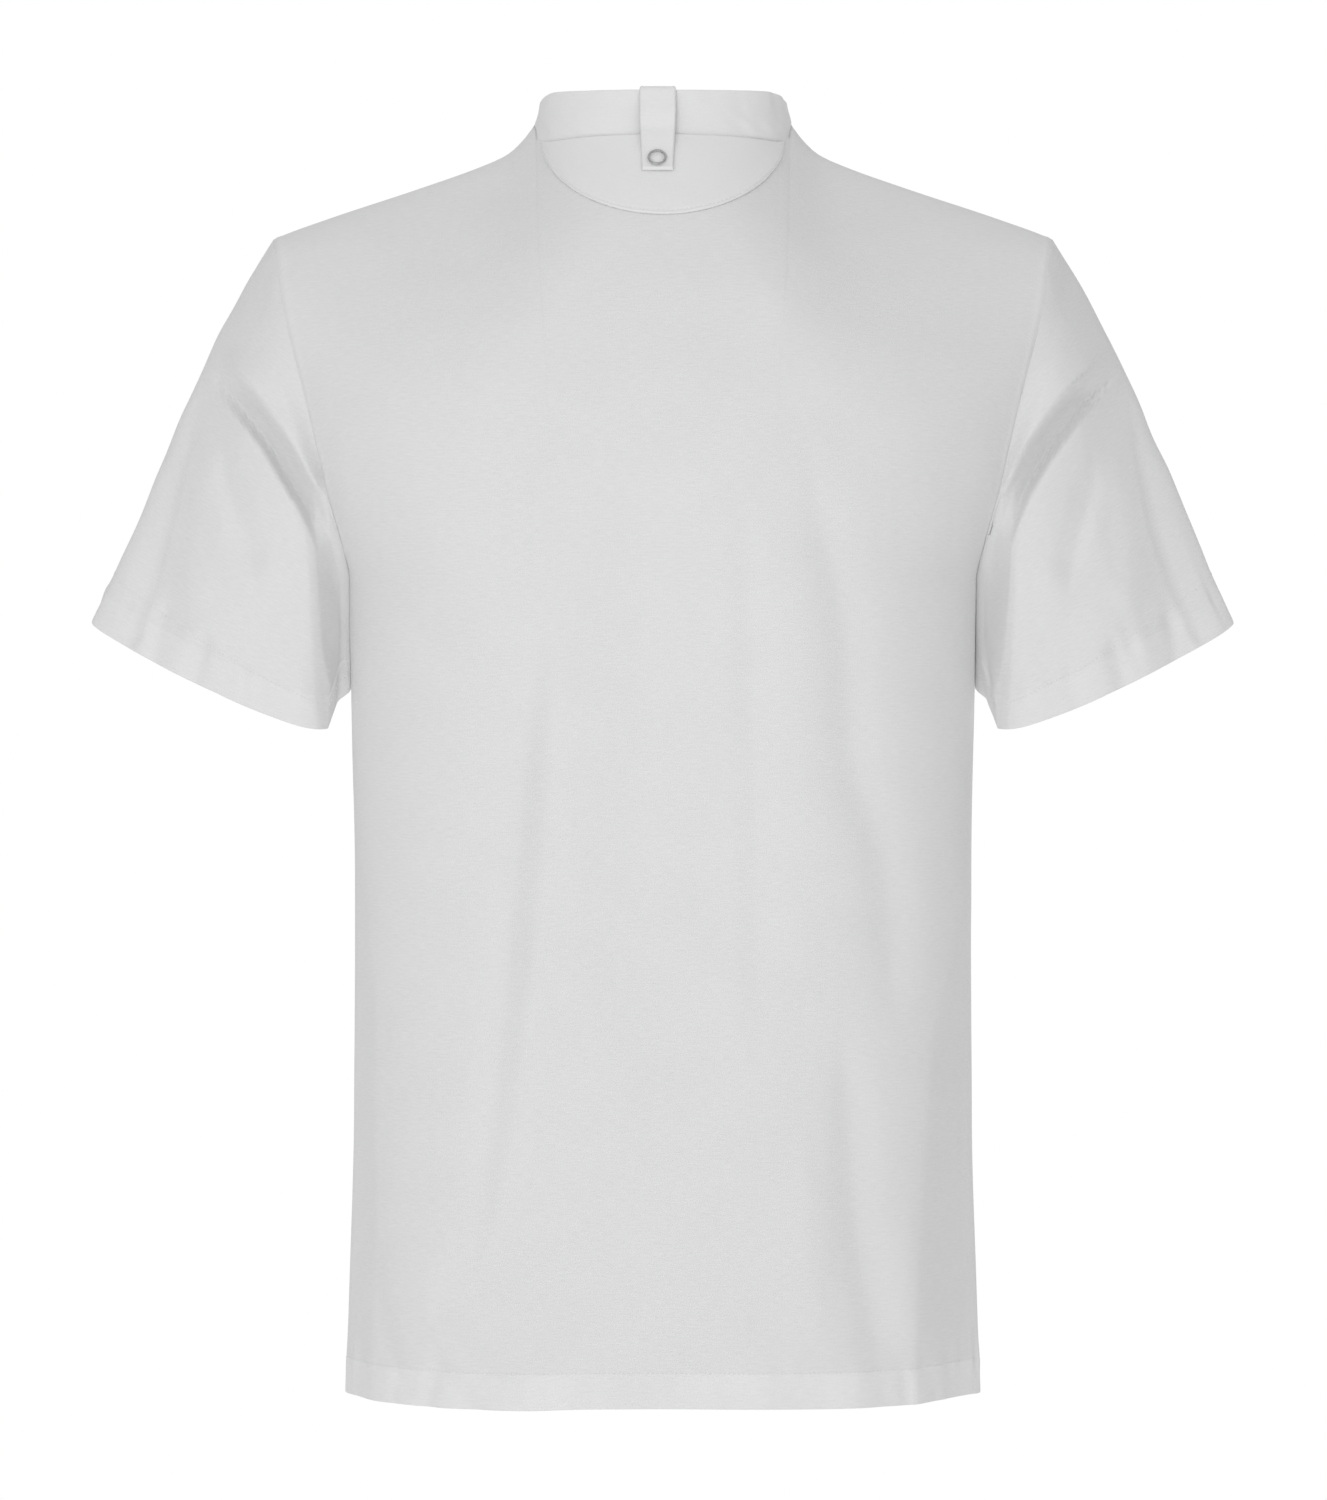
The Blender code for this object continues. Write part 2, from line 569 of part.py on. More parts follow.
def build_placket():
    """Placket: a strip of two layers over the front's slit, from the neck seam down, with its studs."""
    high = top_line(0.0, FRONT)
    rows = ARMPIT_Z + (high - ARMPIT_Z) * yoke_climbs()[:-1]
    rows = np.union1d(rows[rows > PLACKET_END_Z], (PLACKET_END_Z,) + PLACKET_STUDS_Z)
    rows = np.append(rows, high)
    x, z = np.meshgrid((-PLACKET_HALF, -PLACKET_HALF / 3, PLACKET_HALF / 3, PLACKET_HALF), rows)
    z[-1] = top_line(x[-1], FRONT) - 2 * LAY_GAP
    outer = on_cloth(x, z, FRONT, LAY_GAP + BAND_WALL)
    add_piece("front_placket", *walled(outer, on_cloth(x, z, FRONT, LAY_GAP)), BAND)
    for number, height in enumerate(PLACKET_STUDS_Z, start=1):
        at = on_cloth(np.zeros(1), np.array([height]), FRONT, LAY_GAP + BAND_WALL + STUD_GAP)[0]
        under = on_cloth(np.zeros(1), np.array([height]), FRONT)[0]
        build_stud(f"placket_stud_{number}", at, unit(at - under))


def build_stud(name, seat, out):
    """Open-ring press stud: a ring with a rounded face, turned about the cloth's normal."""
    side = unit(np.cross(out, [0, 0, 1]))
    up = np.cross(side, out)
    turn = np.linspace(0, 2 * np.pi, STUD_SIDES, endpoint=False)[:, None]
    rounding = STUD_THICK / 3
    half = STUD_THICK / 2
    section = ((STUD_HOLE, 0), (STUD_RADIUS, 0), (STUD_RADIUS, half), (STUD_RADIUS - rounding, STUD_THICK),
               (STUD_HOLE + rounding, STUD_THICK), (STUD_HOLE, half))
    radius, height = np.array(section).T
    around = side * np.cos(turn) + up * np.sin(turn)
    points = seat + around[:, None, :] * radius[None, :, None] + out * height[None, :, None]
    index = np.arange(points.shape[0] * points.shape[1]).reshape(points.shape[:2])
    after = np.roll(index, -1, axis=0)
    beside = np.roll(index, -1, axis=1)
    faces = np.stack([index, after, np.roll(after, -1, axis=1), beside], axis=-1).reshape(-1, 4)
    add_piece(name, points.reshape(-1, 3), faces.tolist(), METAL)


def main():
    for item in list(bpy.data.objects):
        bpy.data.objects.remove(item)
    build_panel("back_panel", BACK, BACK_FOLDS)
    build_panel("front_panel", FRONT, FRONT_FOLDS)
    build_sleeve("sleeve_left", LEFT)
    build_sleeve("sleeve_right", RIGHT)
    build_collar()
    build_patch()
    build_tab()
    build_placket()


main()
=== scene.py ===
"""Looks of a chef's polo shirt: thin shells of pique on the forms of its solids, with folds, hems, seams and stitches.

Metres, +Z up. The wearer faces -Y and has their left hand towards +X. The origin is the middle of the neck. A cloth
piece is a dense grid of points on its form, moved along its normals by folds and puckers, and given a thickness that
rounds off to nothing at its edges, so that two pieces that meet leave the fine groove of a seam.
"""
from collections import namedtuple

import bpy
import numpy as np
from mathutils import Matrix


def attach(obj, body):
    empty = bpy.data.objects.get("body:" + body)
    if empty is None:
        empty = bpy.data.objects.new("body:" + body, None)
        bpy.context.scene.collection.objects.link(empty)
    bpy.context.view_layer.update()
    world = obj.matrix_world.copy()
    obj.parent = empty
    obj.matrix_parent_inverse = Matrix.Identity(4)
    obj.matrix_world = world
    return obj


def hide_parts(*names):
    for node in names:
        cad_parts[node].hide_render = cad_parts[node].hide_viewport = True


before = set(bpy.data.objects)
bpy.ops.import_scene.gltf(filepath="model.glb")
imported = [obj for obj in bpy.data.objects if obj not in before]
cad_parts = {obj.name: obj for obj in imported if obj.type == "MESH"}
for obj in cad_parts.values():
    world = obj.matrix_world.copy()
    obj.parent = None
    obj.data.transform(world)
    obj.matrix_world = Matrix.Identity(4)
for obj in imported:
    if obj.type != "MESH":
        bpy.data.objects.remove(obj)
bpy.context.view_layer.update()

BACK, FRONT = 1, -1
LEFT, RIGHT = 1, -1

# Cloth
CLOTH = 0.0011              # one layer of pique
BAND = 0.0022               # two layers: collar and tab
HEM_LAYERS = 0.0019         # the turned hem
LAID = 0.0002               # between a piece and what it lies on
BAND_V = 0.1                # bands' second coordinate starts here, above what is shaded as a single layer
TINY = 1e-9
EDGE_LINES = (0.0, 0.00012, 0.00035, 0.0008, 0.0016)    # grid lines this near a cut edge
HEM_LINES = (-0.0024, -0.0012, -0.0005, 0.0, 0.0005, 0.0012, 0.0024)    # this near a hem's stitches
STITCH_LINES = (-0.0010, -0.0004, 0.0, 0.0004, 0.0010)                  # and this near other stitches
NEARLY_THE_SAME = 0.00008   # grid lines nearer than this are one

# Body: half width of the outline from behind, and the depths on the centre lines, at each height
Level = namedtuple("Level", "z half back front")
LEVELS = (
    Level(-0.7270, 0.1840, 0.122, 0.112),   # hem
    Level(-0.6600, 0.1815, 0.125, 0.114),
    Level(-0.5700, 0.1790, 0.122, 0.116),   # hips
    Level(-0.4300, 0.1785, 0.114, 0.118),   # waist
    Level(-0.3250, 0.1805, 0.120, 0.124),
    Level(-0.2550, 0.1820, 0.128, 0.127),   # armpits
    Level(-0.2000, 0.1940, 0.131, 0.124),   # shoulder blades and chest
    Level(-0.1600, 0.2030, 0.129, 0.114),
    Level(-0.1000, 0.2180, 0.116, 0.092),
    Level(-0.0600, 0.2250, 0.100, 0.071),
    Level(-0.0200, 0.2420, 0.077, 0.058),
    Level(0.0300, 0.2600, 0.052, 0.050),    # inside the collar
)
HEM_Z = LEVELS[0].z
ARMPIT_Z = LEVELS[5].z
TIP = (0.2255, -0.0580)     # x and z where the shoulder seam meets the sleeve
SIDE_ROUNDNESS = 2.35       # exponent of the body's section

# Shoulder ridge: its height at each distance from the middle, and the broad form that the cloth takes further down
Ridge = namedtuple("Ridge", "x z broad")
RIDGE = (
    Ridge(0.0000, 0.1030, 0.1030),
    Ridge(0.0200, 0.0960, 0.0950),
    Ridge(0.0400, 0.0755, 0.0730),
    Ridge(0.0600, 0.0420, 0.0440),
    Ridge(0.0700, 0.0170, 0.0300),
    Ridge(0.0745, 0.0085, 0.0240),   # side of the neck
    Ridge(0.0820, -0.0014, 0.0150),
    Ridge(0.0900, -0.0086, 0.0060),
    Ridge(0.1040, -0.0152, -0.0072),
    Ridge(0.1420, -0.0288, -0.0288),
    Ridge(0.1960, -0.0468, -0.0468),
    Ridge(TIP[0], TIP[1], TIP[1]),
    Ridge(0.2600, -0.0800, -0.0800),
)
BROAD_DROP = 0.080
RIDGE_REACH = 0.150
RIDGE_FULLNESS = 0.62
CALM = 0.016                # the form is averaged over this half width and height
CALM_SIDE, CALM_TOP, CALM_HEM = 0.8, 0.6, 0.8   # and over no more than these shares of the distances to its edges
CALM_SAMPLES = (-0.8, -0.4, 0.0, 0.4, 0.8)      # where in the window, both ways
NORMAL_STEP = 0.001

# Neck seam and collar top, by angle round the neck from the middle of the back
Neck = namedtuple("Neck", "angle seam top")
NECK = (
    Neck(0, -0.0022, 0.0240),
    Neck(35, -0.0032, 0.0244),
    Neck(60, -0.0042, 0.0250),
    Neck(75, -0.0010, 0.0232),
    Neck(90, 0.0085, 0.0195),
    Neck(108, 0.0000, 0.0125),
    Neck(140, -0.0370, -0.0110),
    Neck(165, -0.0560, -0.0280),
    Neck(180, -0.0600, -0.0330),
)
Oval = namedtuple("Oval", "half back front")
SEAM_OVAL = Oval(0.0745, 0.0620, 0.0540)
TOP_OVAL = Oval(0.0715, 0.0580, 0.0500)
NECK_BLEND = 0.35
COLLAR_END_ANGLE = 179.4
COLLAR_END_DROP = 0.010
COLLAR_CORNER_ANGLE = 172   # the top edge drops to the rounded corner from here
COLLAR_END_LINES = (0.1, 0.3, 0.7, 1.2)     # grid lines this near the ends, in degrees
COLLAR_CREASE = 0.0010      # creases of the band beside the tab, at the wearer's right
COLLAR_CREASE_X = (0.036, 0.056)    # they begin this far to that side and are whole from the second distance
COLLAR_DIP = 0.0004         # the dip along the neck seam, whole up to the first angle and none from the second
COLLAR_DIP_ANGLES = (47, 72)

# Armholes and sleeves
ARMHOLE_BACK = 0.056
ARMHOLE_FRONT = 0.050
CUFF_OUTER = (0.3320, -0.2800)
CUFF_INNER = (0.1812, -0.3255)
CUFF_FORWARD = -0.012
CUFF_DEPTH = 0.044
CUFF_PITCH = 0.019
CUFF_SKEW = (0.0052, 0.0080)    # away from the body and beside it
CUFF_CORNER = 0.030         # how much the hem rises where it meets the body
CUFF_CORNER_SHARE = 0.080   # over this share of its width
CUFF_SQUARE = 0.32          # how square the sleeve is beside the body
CUFF_SQUARE_SHARE = 0.5     # reached over this share of its half width
HEAD_LEAN = (0.0324, 0.0, 0.0155)

# The sleeve's flank beside the body, at each height: its crest, and how far back it meets the body
Flank = namedtuple("Flank", "z x y foot")
FLANK = (
    Flank(-0.3450, 0.1985, 0.0360, 0.0090),
    Flank(-0.3050, 0.2010, 0.0410, 0.0120),
    Flank(-0.2650, 0.2030, 0.0490, 0.0200),
    Flank(-0.2350, 0.2045, 0.0540, 0.0330),
    Flank(-0.2000, 0.2070, 0.0560, 0.0520),
)
FLANK_FOOT = {LEFT: 1.0, RIGHT: 0.95}   # each sleeve's share of the foot
FLANK_ROUND = 0.0012
FLANK_CURVE = 1.35          # above 1 it is steeper near its crest
FLANK_LEAST = 0.008         # least width of the flank
FLANK_NEAR = (0.012, 0.030)     # it is flat this near its crest and left round this far from it
FLANK_REACH = (0.015, 0.020)    # the inner wall lies on the body up to this close to it
FLANK_HEAD = 0.008          # length below the armhole over which it is left round
FLANK_TOP = (-0.205, -0.185)    # it is flat below the first height and round above the second
LYING_TOP = (-0.230, -0.208)    # and it lies on the body below the first
BODY_PULL = (0.0010, 0.0050)    # up to this depth beyond the foot the sleeve lies on the body, and from there on not
SLEEVE_PUFF = 0.014
GATHERS = 20                # small waves round the sleeve's head
GATHER_HEIGHT = 0.0002
GATHER_REACH = 0.012

# Grids
PANEL_COLUMN = 0.0027       # spacing of a panel's grid lines
PANEL_ROW = 0.0042
SLEEVE_AROUND = 256
SLEEVE_ROW = 0.0017
SECTION_SAMPLES = 4000
NECK_LINES = (60, 68, 74, 79, 83, 86, 90)   # grid columns at these angles, where the neck seam is steep
NECK_LINE_ROOM = 0.003      # no other column is this near them, as a share of the half width
COLLAR_GRID = (22, 260)     # rows and columns
PATCH_GRID = (34, 150)
TAB_GRID = (74, 26)
TAB_KNOTS = 9               # of its path across its width
PLACKET_GRID = (90, 24)
STUD_GRID = (72, 20)

# Hems
BODY_HEM = 0.0205           # height of the turned hem's stitch line
SLEEVE_HEM = 0.0195
STITCH = 0.0027
THREAD = 0.00019            # half the thread's width
STITCH_SHARE = 0.74         # share of the pitch that the stitch covers
THREAD_SIDES, THREAD_RINGS = 6, 5
THREAD_ENDS = (0.02, 0.98)  # its first and last ring, as shares of its length
STITCH_DIP = 0.0002         # how deep a stitch line is pulled in
STITCH_DIP_WIDTH = 0.0011
PUCKER = 0.0007
CUFF_PUCKER = 0.0016
PUCKER_MIDDLE, PUCKER_SIDES = 0.7, 1.6      # shares of PUCKER on the centre lines, and added towards the side seams
PUCKER_SIZE = 0.0075        # along the stitch line
PUCKER_REACH = 0.011        # across it
PUCKER_RHYTHM = 0.055       # they are weaker and stronger over this length
HEM_STEP = 0.0002           # the cloth steps out over its second layer
HEM_STEP_SPAN = (-0.0004, 0.0004)       # between these heights over the stitches
HEM_LAYER_SPAN = (0.0018, 0.0030)       # and the layer ends inside between these
ALLOWANCE = 0.00035         # how much the armhole's seam allowance lifts the panel
ALLOWANCE_AT, ALLOWANCE_WIDTH = 0.0028, 0.0018

# How much the back's hem is raised at each x, and the front's at each -x, lost over the height below
HEM_WAVE = ((-0.185, 0.0014), (-0.130, 0.0004), (-0.060, 0.0010), (0.000, 0.0016), (0.040, 0.0012),
            (0.080, -0.0002), (0.120, 0.0000), (0.150, 0.0008), (0.185, 0.0014))
HEM_WAVE_REACH = 0.080

# Half-moon, neck tab, placket and studs
PATCH_HALF = 0.0692
PATCH_END_Z = -0.0030
PATCH_LOW_Z = -0.0504
PATCH_END_ANGLE = 88
PATCH_TALL = 0.0485
PATCH_STITCH = 0.0022       # from its edge
TAB_X = 0.0030
TAB_HALF_TOP = 0.0105
TAB_HALF_END = 0.0090
TAB_LOW_Z = -0.0252
TAB_STAND_OFF = 0.0026      # how far it stands off the seam and the collar
TAB_BACK_Z = (TAB_LOW_Z, -0.0190, -0.0140, -0.0090)     # its path's points up the half-moon
TAB_COLLAR_Z = (0.0010, 0.0070, 0.0140, 0.0205)         # up the collar
TAB_CROWN_TURNS = (25, 60, 90, 120, 155)                # over its top edge, in degrees
TAB_INSIDE_Z = (0.0190, 0.0145, 0.0100)                 # and down inside
TAB_TAPER = 0.046           # length over which it widens
TAB_STUD_Z = -0.0178
PLACKET_HALF = 0.0160
PLACKET_END_Z = -0.2300
PLACKET_STITCH = 0.0030
PLACKET_STUDS_Z = (-0.0885, -0.1473, -0.2062)
STUD_RADIUS = 0.0054
STUD_HOLE = 0.0042
STUD_THICK = 0.0011
STUD_SEAT = 0.0001          # between the stud and the cloth
TAB_RISES = (0.012, 0.028)  # lengths between which it rises off the half-moon, and between which it settles again
TAB_SETTLES = (0.038, 0.052)
TAB_HOLLOW = 0.6            # its middle stands off this share of what its sides do

# Fine relief: lines beside a cut edge or round a stud, at a distance from it, and unevenness of a size
Line = namedtuple("Line", "height at width")
PATCH_RIM = Line(0.0001, 0.0008, 0.0007)
PATCH_DIP = Line(-0.00035, PATCH_STITCH, 0.0008)
TAB_RIM = Line(0.00022, 0.0012, 0.0009)
PLACKET_RIM = Line(0.0002, 0.0012, 0.0009)
PLACKET_DIP = Line(-0.0004, PLACKET_STITCH, 0.0008)
STUD_PRESS = Line(-0.0004, STUD_HOLE, 0.0016)
STUD_SWELL = Line(0.00035, 0.0, 0.0020)
Uneven = namedtuple("Uneven", "size height seed")
COLLAR_UNEVEN = Uneven(0.016, 0.00035, 31)
COLLAR_WAVE = Uneven(0.040, 0.0005, 33)
COLLAR_FINE = Uneven(0.008, 0.0002, 35)
PATCH_PUCKERS = Uneven(0.006, 0.00022, 51)
PATCH_UNEVEN = Uneven(0.024, 0.0003, 53)
TAB_UNEVEN = Uneven(0.011, 0.0002, 71)
PLACKET_PUCKERS = Uneven(0.006, 0.00018, 81)
PATCH_PUCKER_REACH, PLACKET_PUCKER_REACH = 0.007, 0.004
TOP_ROOM = 0.0004           # a laid piece's top edge counts as this much further in, because it ends under the collar

# Folds: a crest over the outline seen from behind, from top to bottom; half widths towards +X and -X (seen along a
# path that goes down); lift, negative for a trough; the shares of its length over which it grows and fades; and how
# crisp it is, from a soft swell (0) to flat sides that meet at an edge (1)
Fold = namedtuple("Fold", "path left right lift grow fade crisp", defaults=(0.0,))
BACK_FOLDS = (
    # the long drag line that bends outwards near the hem, and the swell beside it
    Fold(((0.0600, -0.262), (0.0622, -0.330), (0.0655, -0.400), (0.0705, -0.458), (0.0770, -0.525), (0.0830, -0.575),
          (0.0900, -0.622), (0.0985, -0.650), (0.1180, -0.670), (0.1320, -0.682)),
         0.0155, 0.070, -0.0108, 0.20, 0.15, 0.30),
    Fold(((0.092, -0.400), (0.098, -0.480), (0.106, -0.560), (0.118, -0.630)), 0.026, 0.020, 0.0026, 0.3, 0.3),
    # a wide hollow down the middle
    Fold(((0.012, -0.160), (0.010, -0.300), (0.006, -0.450), (0.002, -0.620)), 0.046, 0.050, -0.0150, 0.35, 0.35, 0.3),
    Fold(((-0.046, -0.200), (-0.050, -0.290), (-0.053, -0.380), (-0.054, -0.460), (-0.054, -0.540)),
         0.015, 0.012, -0.0046, 0.3, 0.3, 0.15),
    Fold(((-0.074, -0.150), (-0.088, -0.220), (-0.102, -0.280), (-0.108, -0.361), (-0.124, -0.414), (-0.130, -0.474),
          (-0.132, -0.520)), 0.014, 0.017, -0.0046, 0.35, 0.25, 0.1),
    # the fold that opens towards the hem, with a lighter swell outside it
    Fold(((-0.101, -0.500), (-0.105, -0.555), (-0.110, -0.627), (-0.117, -0.668), (-0.127, -0.727)),
         0.0120, 0.018, -0.0056, 0.35, 0.0, 0.2),
    Fold(((-0.078, -0.560), (-0.084, -0.640), (-0.090, -0.700)), 0.018, 0.012, 0.0022, 0.4, 0.3),
    Fold(((-0.140, -0.600), (-0.142, -0.660), (-0.145, -0.705)), 0.012, 0.012, 0.0030, 0.4, 0.3),
    # where the cloth turns away at both sides
    Fold(((-0.194, -0.400), (-0.189, -0.500), (-0.184, -0.580), (-0.180, -0.660), (-0.179, -0.727)),
         0.035, 0.010, -0.0340, 0.35, 0.0, 0.8),
    Fold(((0.184, -0.380), (0.182, -0.480), (0.182, -0.600), (0.184, -0.727)), 0.010, 0.018, -0.0240, 0.45, 0.0, 0.8),
    Fold(((0.172, -0.600), (0.160, -0.680), (0.150, -0.706), (0.140, -0.727)), 0.009, 0.008, -0.0050, 0.4, 0.2, 0.4),
    Fold(((0.133, -0.690), (0.120, -0.712), (0.106, -0.727)), 0.008, 0.006, -0.0028, 0.3, 0.0, 0.4),
    # short puckers across the hem
    Fold(((0.126, -0.698), (0.134, -0.727)), 0.006, 0.005, -0.0034, 0.4, 0.0),
    Fold(((0.150, -0.704), (0.153, -0.727)), 0.004, 0.004, -0.0020, 0.4, 0.0),
    Fold(((-0.136, -0.704), (-0.139, -0.727)), 0.004, 0.004, -0.0022, 0.4, 0.0),
    Fold(((-0.153, -0.700), (-0.156, -0.727)), 0.005, 0.004, -0.0026, 0.4, 0.0),
    Fold(((-0.166, -0.706), (-0.168, -0.727)), 0.004, 0.004, -0.0022, 0.4, 0.0),
    # the shoulder blades
    Fold(((0.120, -0.060), (0.135, -0.110), (0.140, -0.170)), 0.040, 0.040, 0.0020, 0.4, 0.5),
    Fold(((-0.120, -0.060), (-0.135, -0.110), (-0.142, -0.170)), 0.034, 0.040, 0.0016, 0.4, 0.5),
)
FRONT_FOLDS = (
    # a drag line from the chest to the hem, and the swell beside it
    Fold(((-0.068, -0.285), (-0.071, -0.360), (-0.076, -0.440), (-0.084, -0.540), (-0.093, -0.610), (-0.104, -0.648),
          (-0.124, -0.672), (-0.142, -0.686)), 0.040, 0.0115, -0.0084, 0.25, 0.15, 0.35),
    Fold(((-0.096, -0.390), (-0.104, -0.480), (-0.112, -0.570), (-0.120, -0.640)), 0.020, 0.026, 0.0028, 0.3, 0.3),
    # soft hollows from the placket's end
    Fold(((0.014, -0.236), (0.020, -0.300), (0.022, -0.380), (0.018, -0.470)), 0.014, 0.011, -0.0040, 0.3, 0.3, 0.2),
    Fold(((-0.020, -0.240), (-0.030, -0.330), (-0.034, -0.430), (-0.030, -0.560)), 0.016, 0.014, -0.0036, 0.3, 0.3),
    # drag lines from the armpits
    Fold(((0.176, -0.214), (0.150, -0.242), (0.124, -0.290), (0.110, -0.350), (0.106, -0.420)),
         0.014, 0.019, -0.0058, 0.3, 0.35, 0.2),
    Fold(((-0.176, -0.222), (-0.154, -0.246), (-0.134, -0.280), (-0.122, -0.330)), 0.020, 0.014, -0.0050, 0.3, 0.4,
         0.2),
    # the fold that opens towards the hem, with a lighter swell outside it
    Fold(((0.082, -0.470), (0.088, -0.540), (0.094, -0.620), (0.102, -0.668), (0.114, -0.727)), 0.020, 0.012, -0.0066,
         0.35, 0.0, 0.25),
    Fold(((0.128, -0.560), (0.133, -0.640), (0.138, -0.705)), 0.014, 0.014, 0.0030, 0.4, 0.3),
    # where the cloth turns away at both sides
    Fold(((0.192, -0.410), (0.187, -0.510), (0.183, -0.600), (0.181, -0.727)), 0.010, 0.030, -0.0260, 0.4, 0.0, 0.8),
    Fold(((-0.186, -0.390), (-0.184, -0.500), (-0.183, -0.610), (-0.184, -0.727)), 0.020, 0.010, -0.0220, 0.45, 0.0,
         0.8),
    # short puckers across the hem
    Fold(((-0.118, -0.700), (-0.124, -0.727)), 0.005, 0.006, -0.0032, 0.4, 0.0),
    Fold(((0.146, -0.702), (0.149, -0.727)), 0.004, 0.005, -0.0026, 0.4, 0.0),
    Fold(((0.160, -0.706), (0.163, -0.727)), 0.004, 0.004, -0.0020, 0.4, 0.0),
    # the chest
    Fold(((0.112, -0.090), (0.118, -0.150), (0.110, -0.210)), 0.045, 0.045, 0.0026, 0.4, 0.5),
    Fold(((-0.110, -0.090), (-0.120, -0.150), (-0.114, -0.210)), 0.045, 0.040, 0.0022, 0.4, 0.5),
)
# Where each sleeve's cloth steps down to its outer edge
LEFT_STEP = ((0.272, -0.130), (0.2745, -0.150), (0.2775, -0.170), (0.283, -0.195), (0.2885, -0.2175), (0.297, -0.250),
             (0.306, -0.282))
RIGHT_STEP = ((-0.272, -0.128), (-0.2755, -0.150), (-0.2780, -0.172), (-0.2820, -0.198), (-0.2860, -0.2200),
              (-0.2970, -0.253), (-0.3085, -0.279))
SLEEVE_LEFT_FOLDS = (
    # the tuck from the outer edge to the armpit, and the swell over it
    Fold(((0.2640, -0.1290), (0.2563, -0.1413), (0.2420, -0.1593), (0.2247, -0.1823), (0.2132, -0.2023),
          (0.2045, -0.2163), (0.2000, -0.2290), (0.1970, -0.2420)), 0.0040, 0.0135, -0.0165, 0.28, 0.34, 1.0),
    Fold(((0.2540, -0.1210), (0.2453, -0.1335), (0.2313, -0.1517), (0.2140, -0.1745), (0.2025, -0.1945),
          (0.1930, -0.2085)), 0.0060, 0.0220, 0.0085, 0.35, 0.15, 0.9),
    # the outer edge from the shoulder to the tuck
    Fold(((0.2220, -0.0610), (0.2467, -0.1040), (0.2611, -0.1310), (0.2755, -0.1580)), 0.030, 0.016, -0.0080,
         0.3, 0.3, 0.3),
    # the crisp edge below the tuck, which turns down beside the body
    Fold(((0.262, -0.138), (0.247, -0.160), (0.231, -0.186), (0.214, -0.211), (0.2045, -0.237), (0.2030, -0.265),
          (0.2015, -0.305), (0.1995, -0.345)), 0.030, 0.006, 0.0030, 0.4, 0.0, 0.4),
    # the step, and a crease at its foot
    Fold((*LEFT_STEP, (0.319, -0.320)), 0.040, 0.036, -0.0200, 0.15, 0.0, 0.35),
    Fold((*LEFT_STEP, (0.309, -0.297)), 0.012, 0.0075, -0.0145, 0.15, 0.1, 0.8),
    # short puckers across the hem
    Fold(((0.287, -0.266), (0.2905, -0.283), (0.294, -0.302)), 0.005, 0.005, -0.0040, 0.3, 0.0),
    Fold(((0.298, -0.266), (0.301, -0.283), (0.304, -0.298)), 0.005, 0.004, 0.0026, 0.3, 0.0),
    Fold(((0.262, -0.283), (0.267, -0.300), (0.271, -0.317)), 0.007, 0.006, -0.0034, 0.3, 0.0),
    Fold(((0.240, -0.300), (0.243, -0.314), (0.245, -0.327)), 0.005, 0.005, -0.0022, 0.3, 0.0),
    # soft folds below the tuck, and one over it
    Fold(((0.256, -0.172), (0.249, -0.205), (0.241, -0.232), (0.231, -0.264)), 0.008, 0.013, -0.0038, 0.3, 0.3, 0.4),
    Fold(((0.262, -0.160), (0.266, -0.200), (0.272, -0.240), (0.276, -0.285)), 0.014, 0.010, 0.0030, 0.3, 0.2),
    Fold(((0.220, -0.230), (0.226, -0.262), (0.228, -0.290)), 0.014, 0.016, 0.0026, 0.4, 0.4),
    Fold(((0.232, -0.080), (0.246, -0.100), (0.258, -0.112)), 0.014, 0.018, 0.0016, 0.4, 0.4),
)
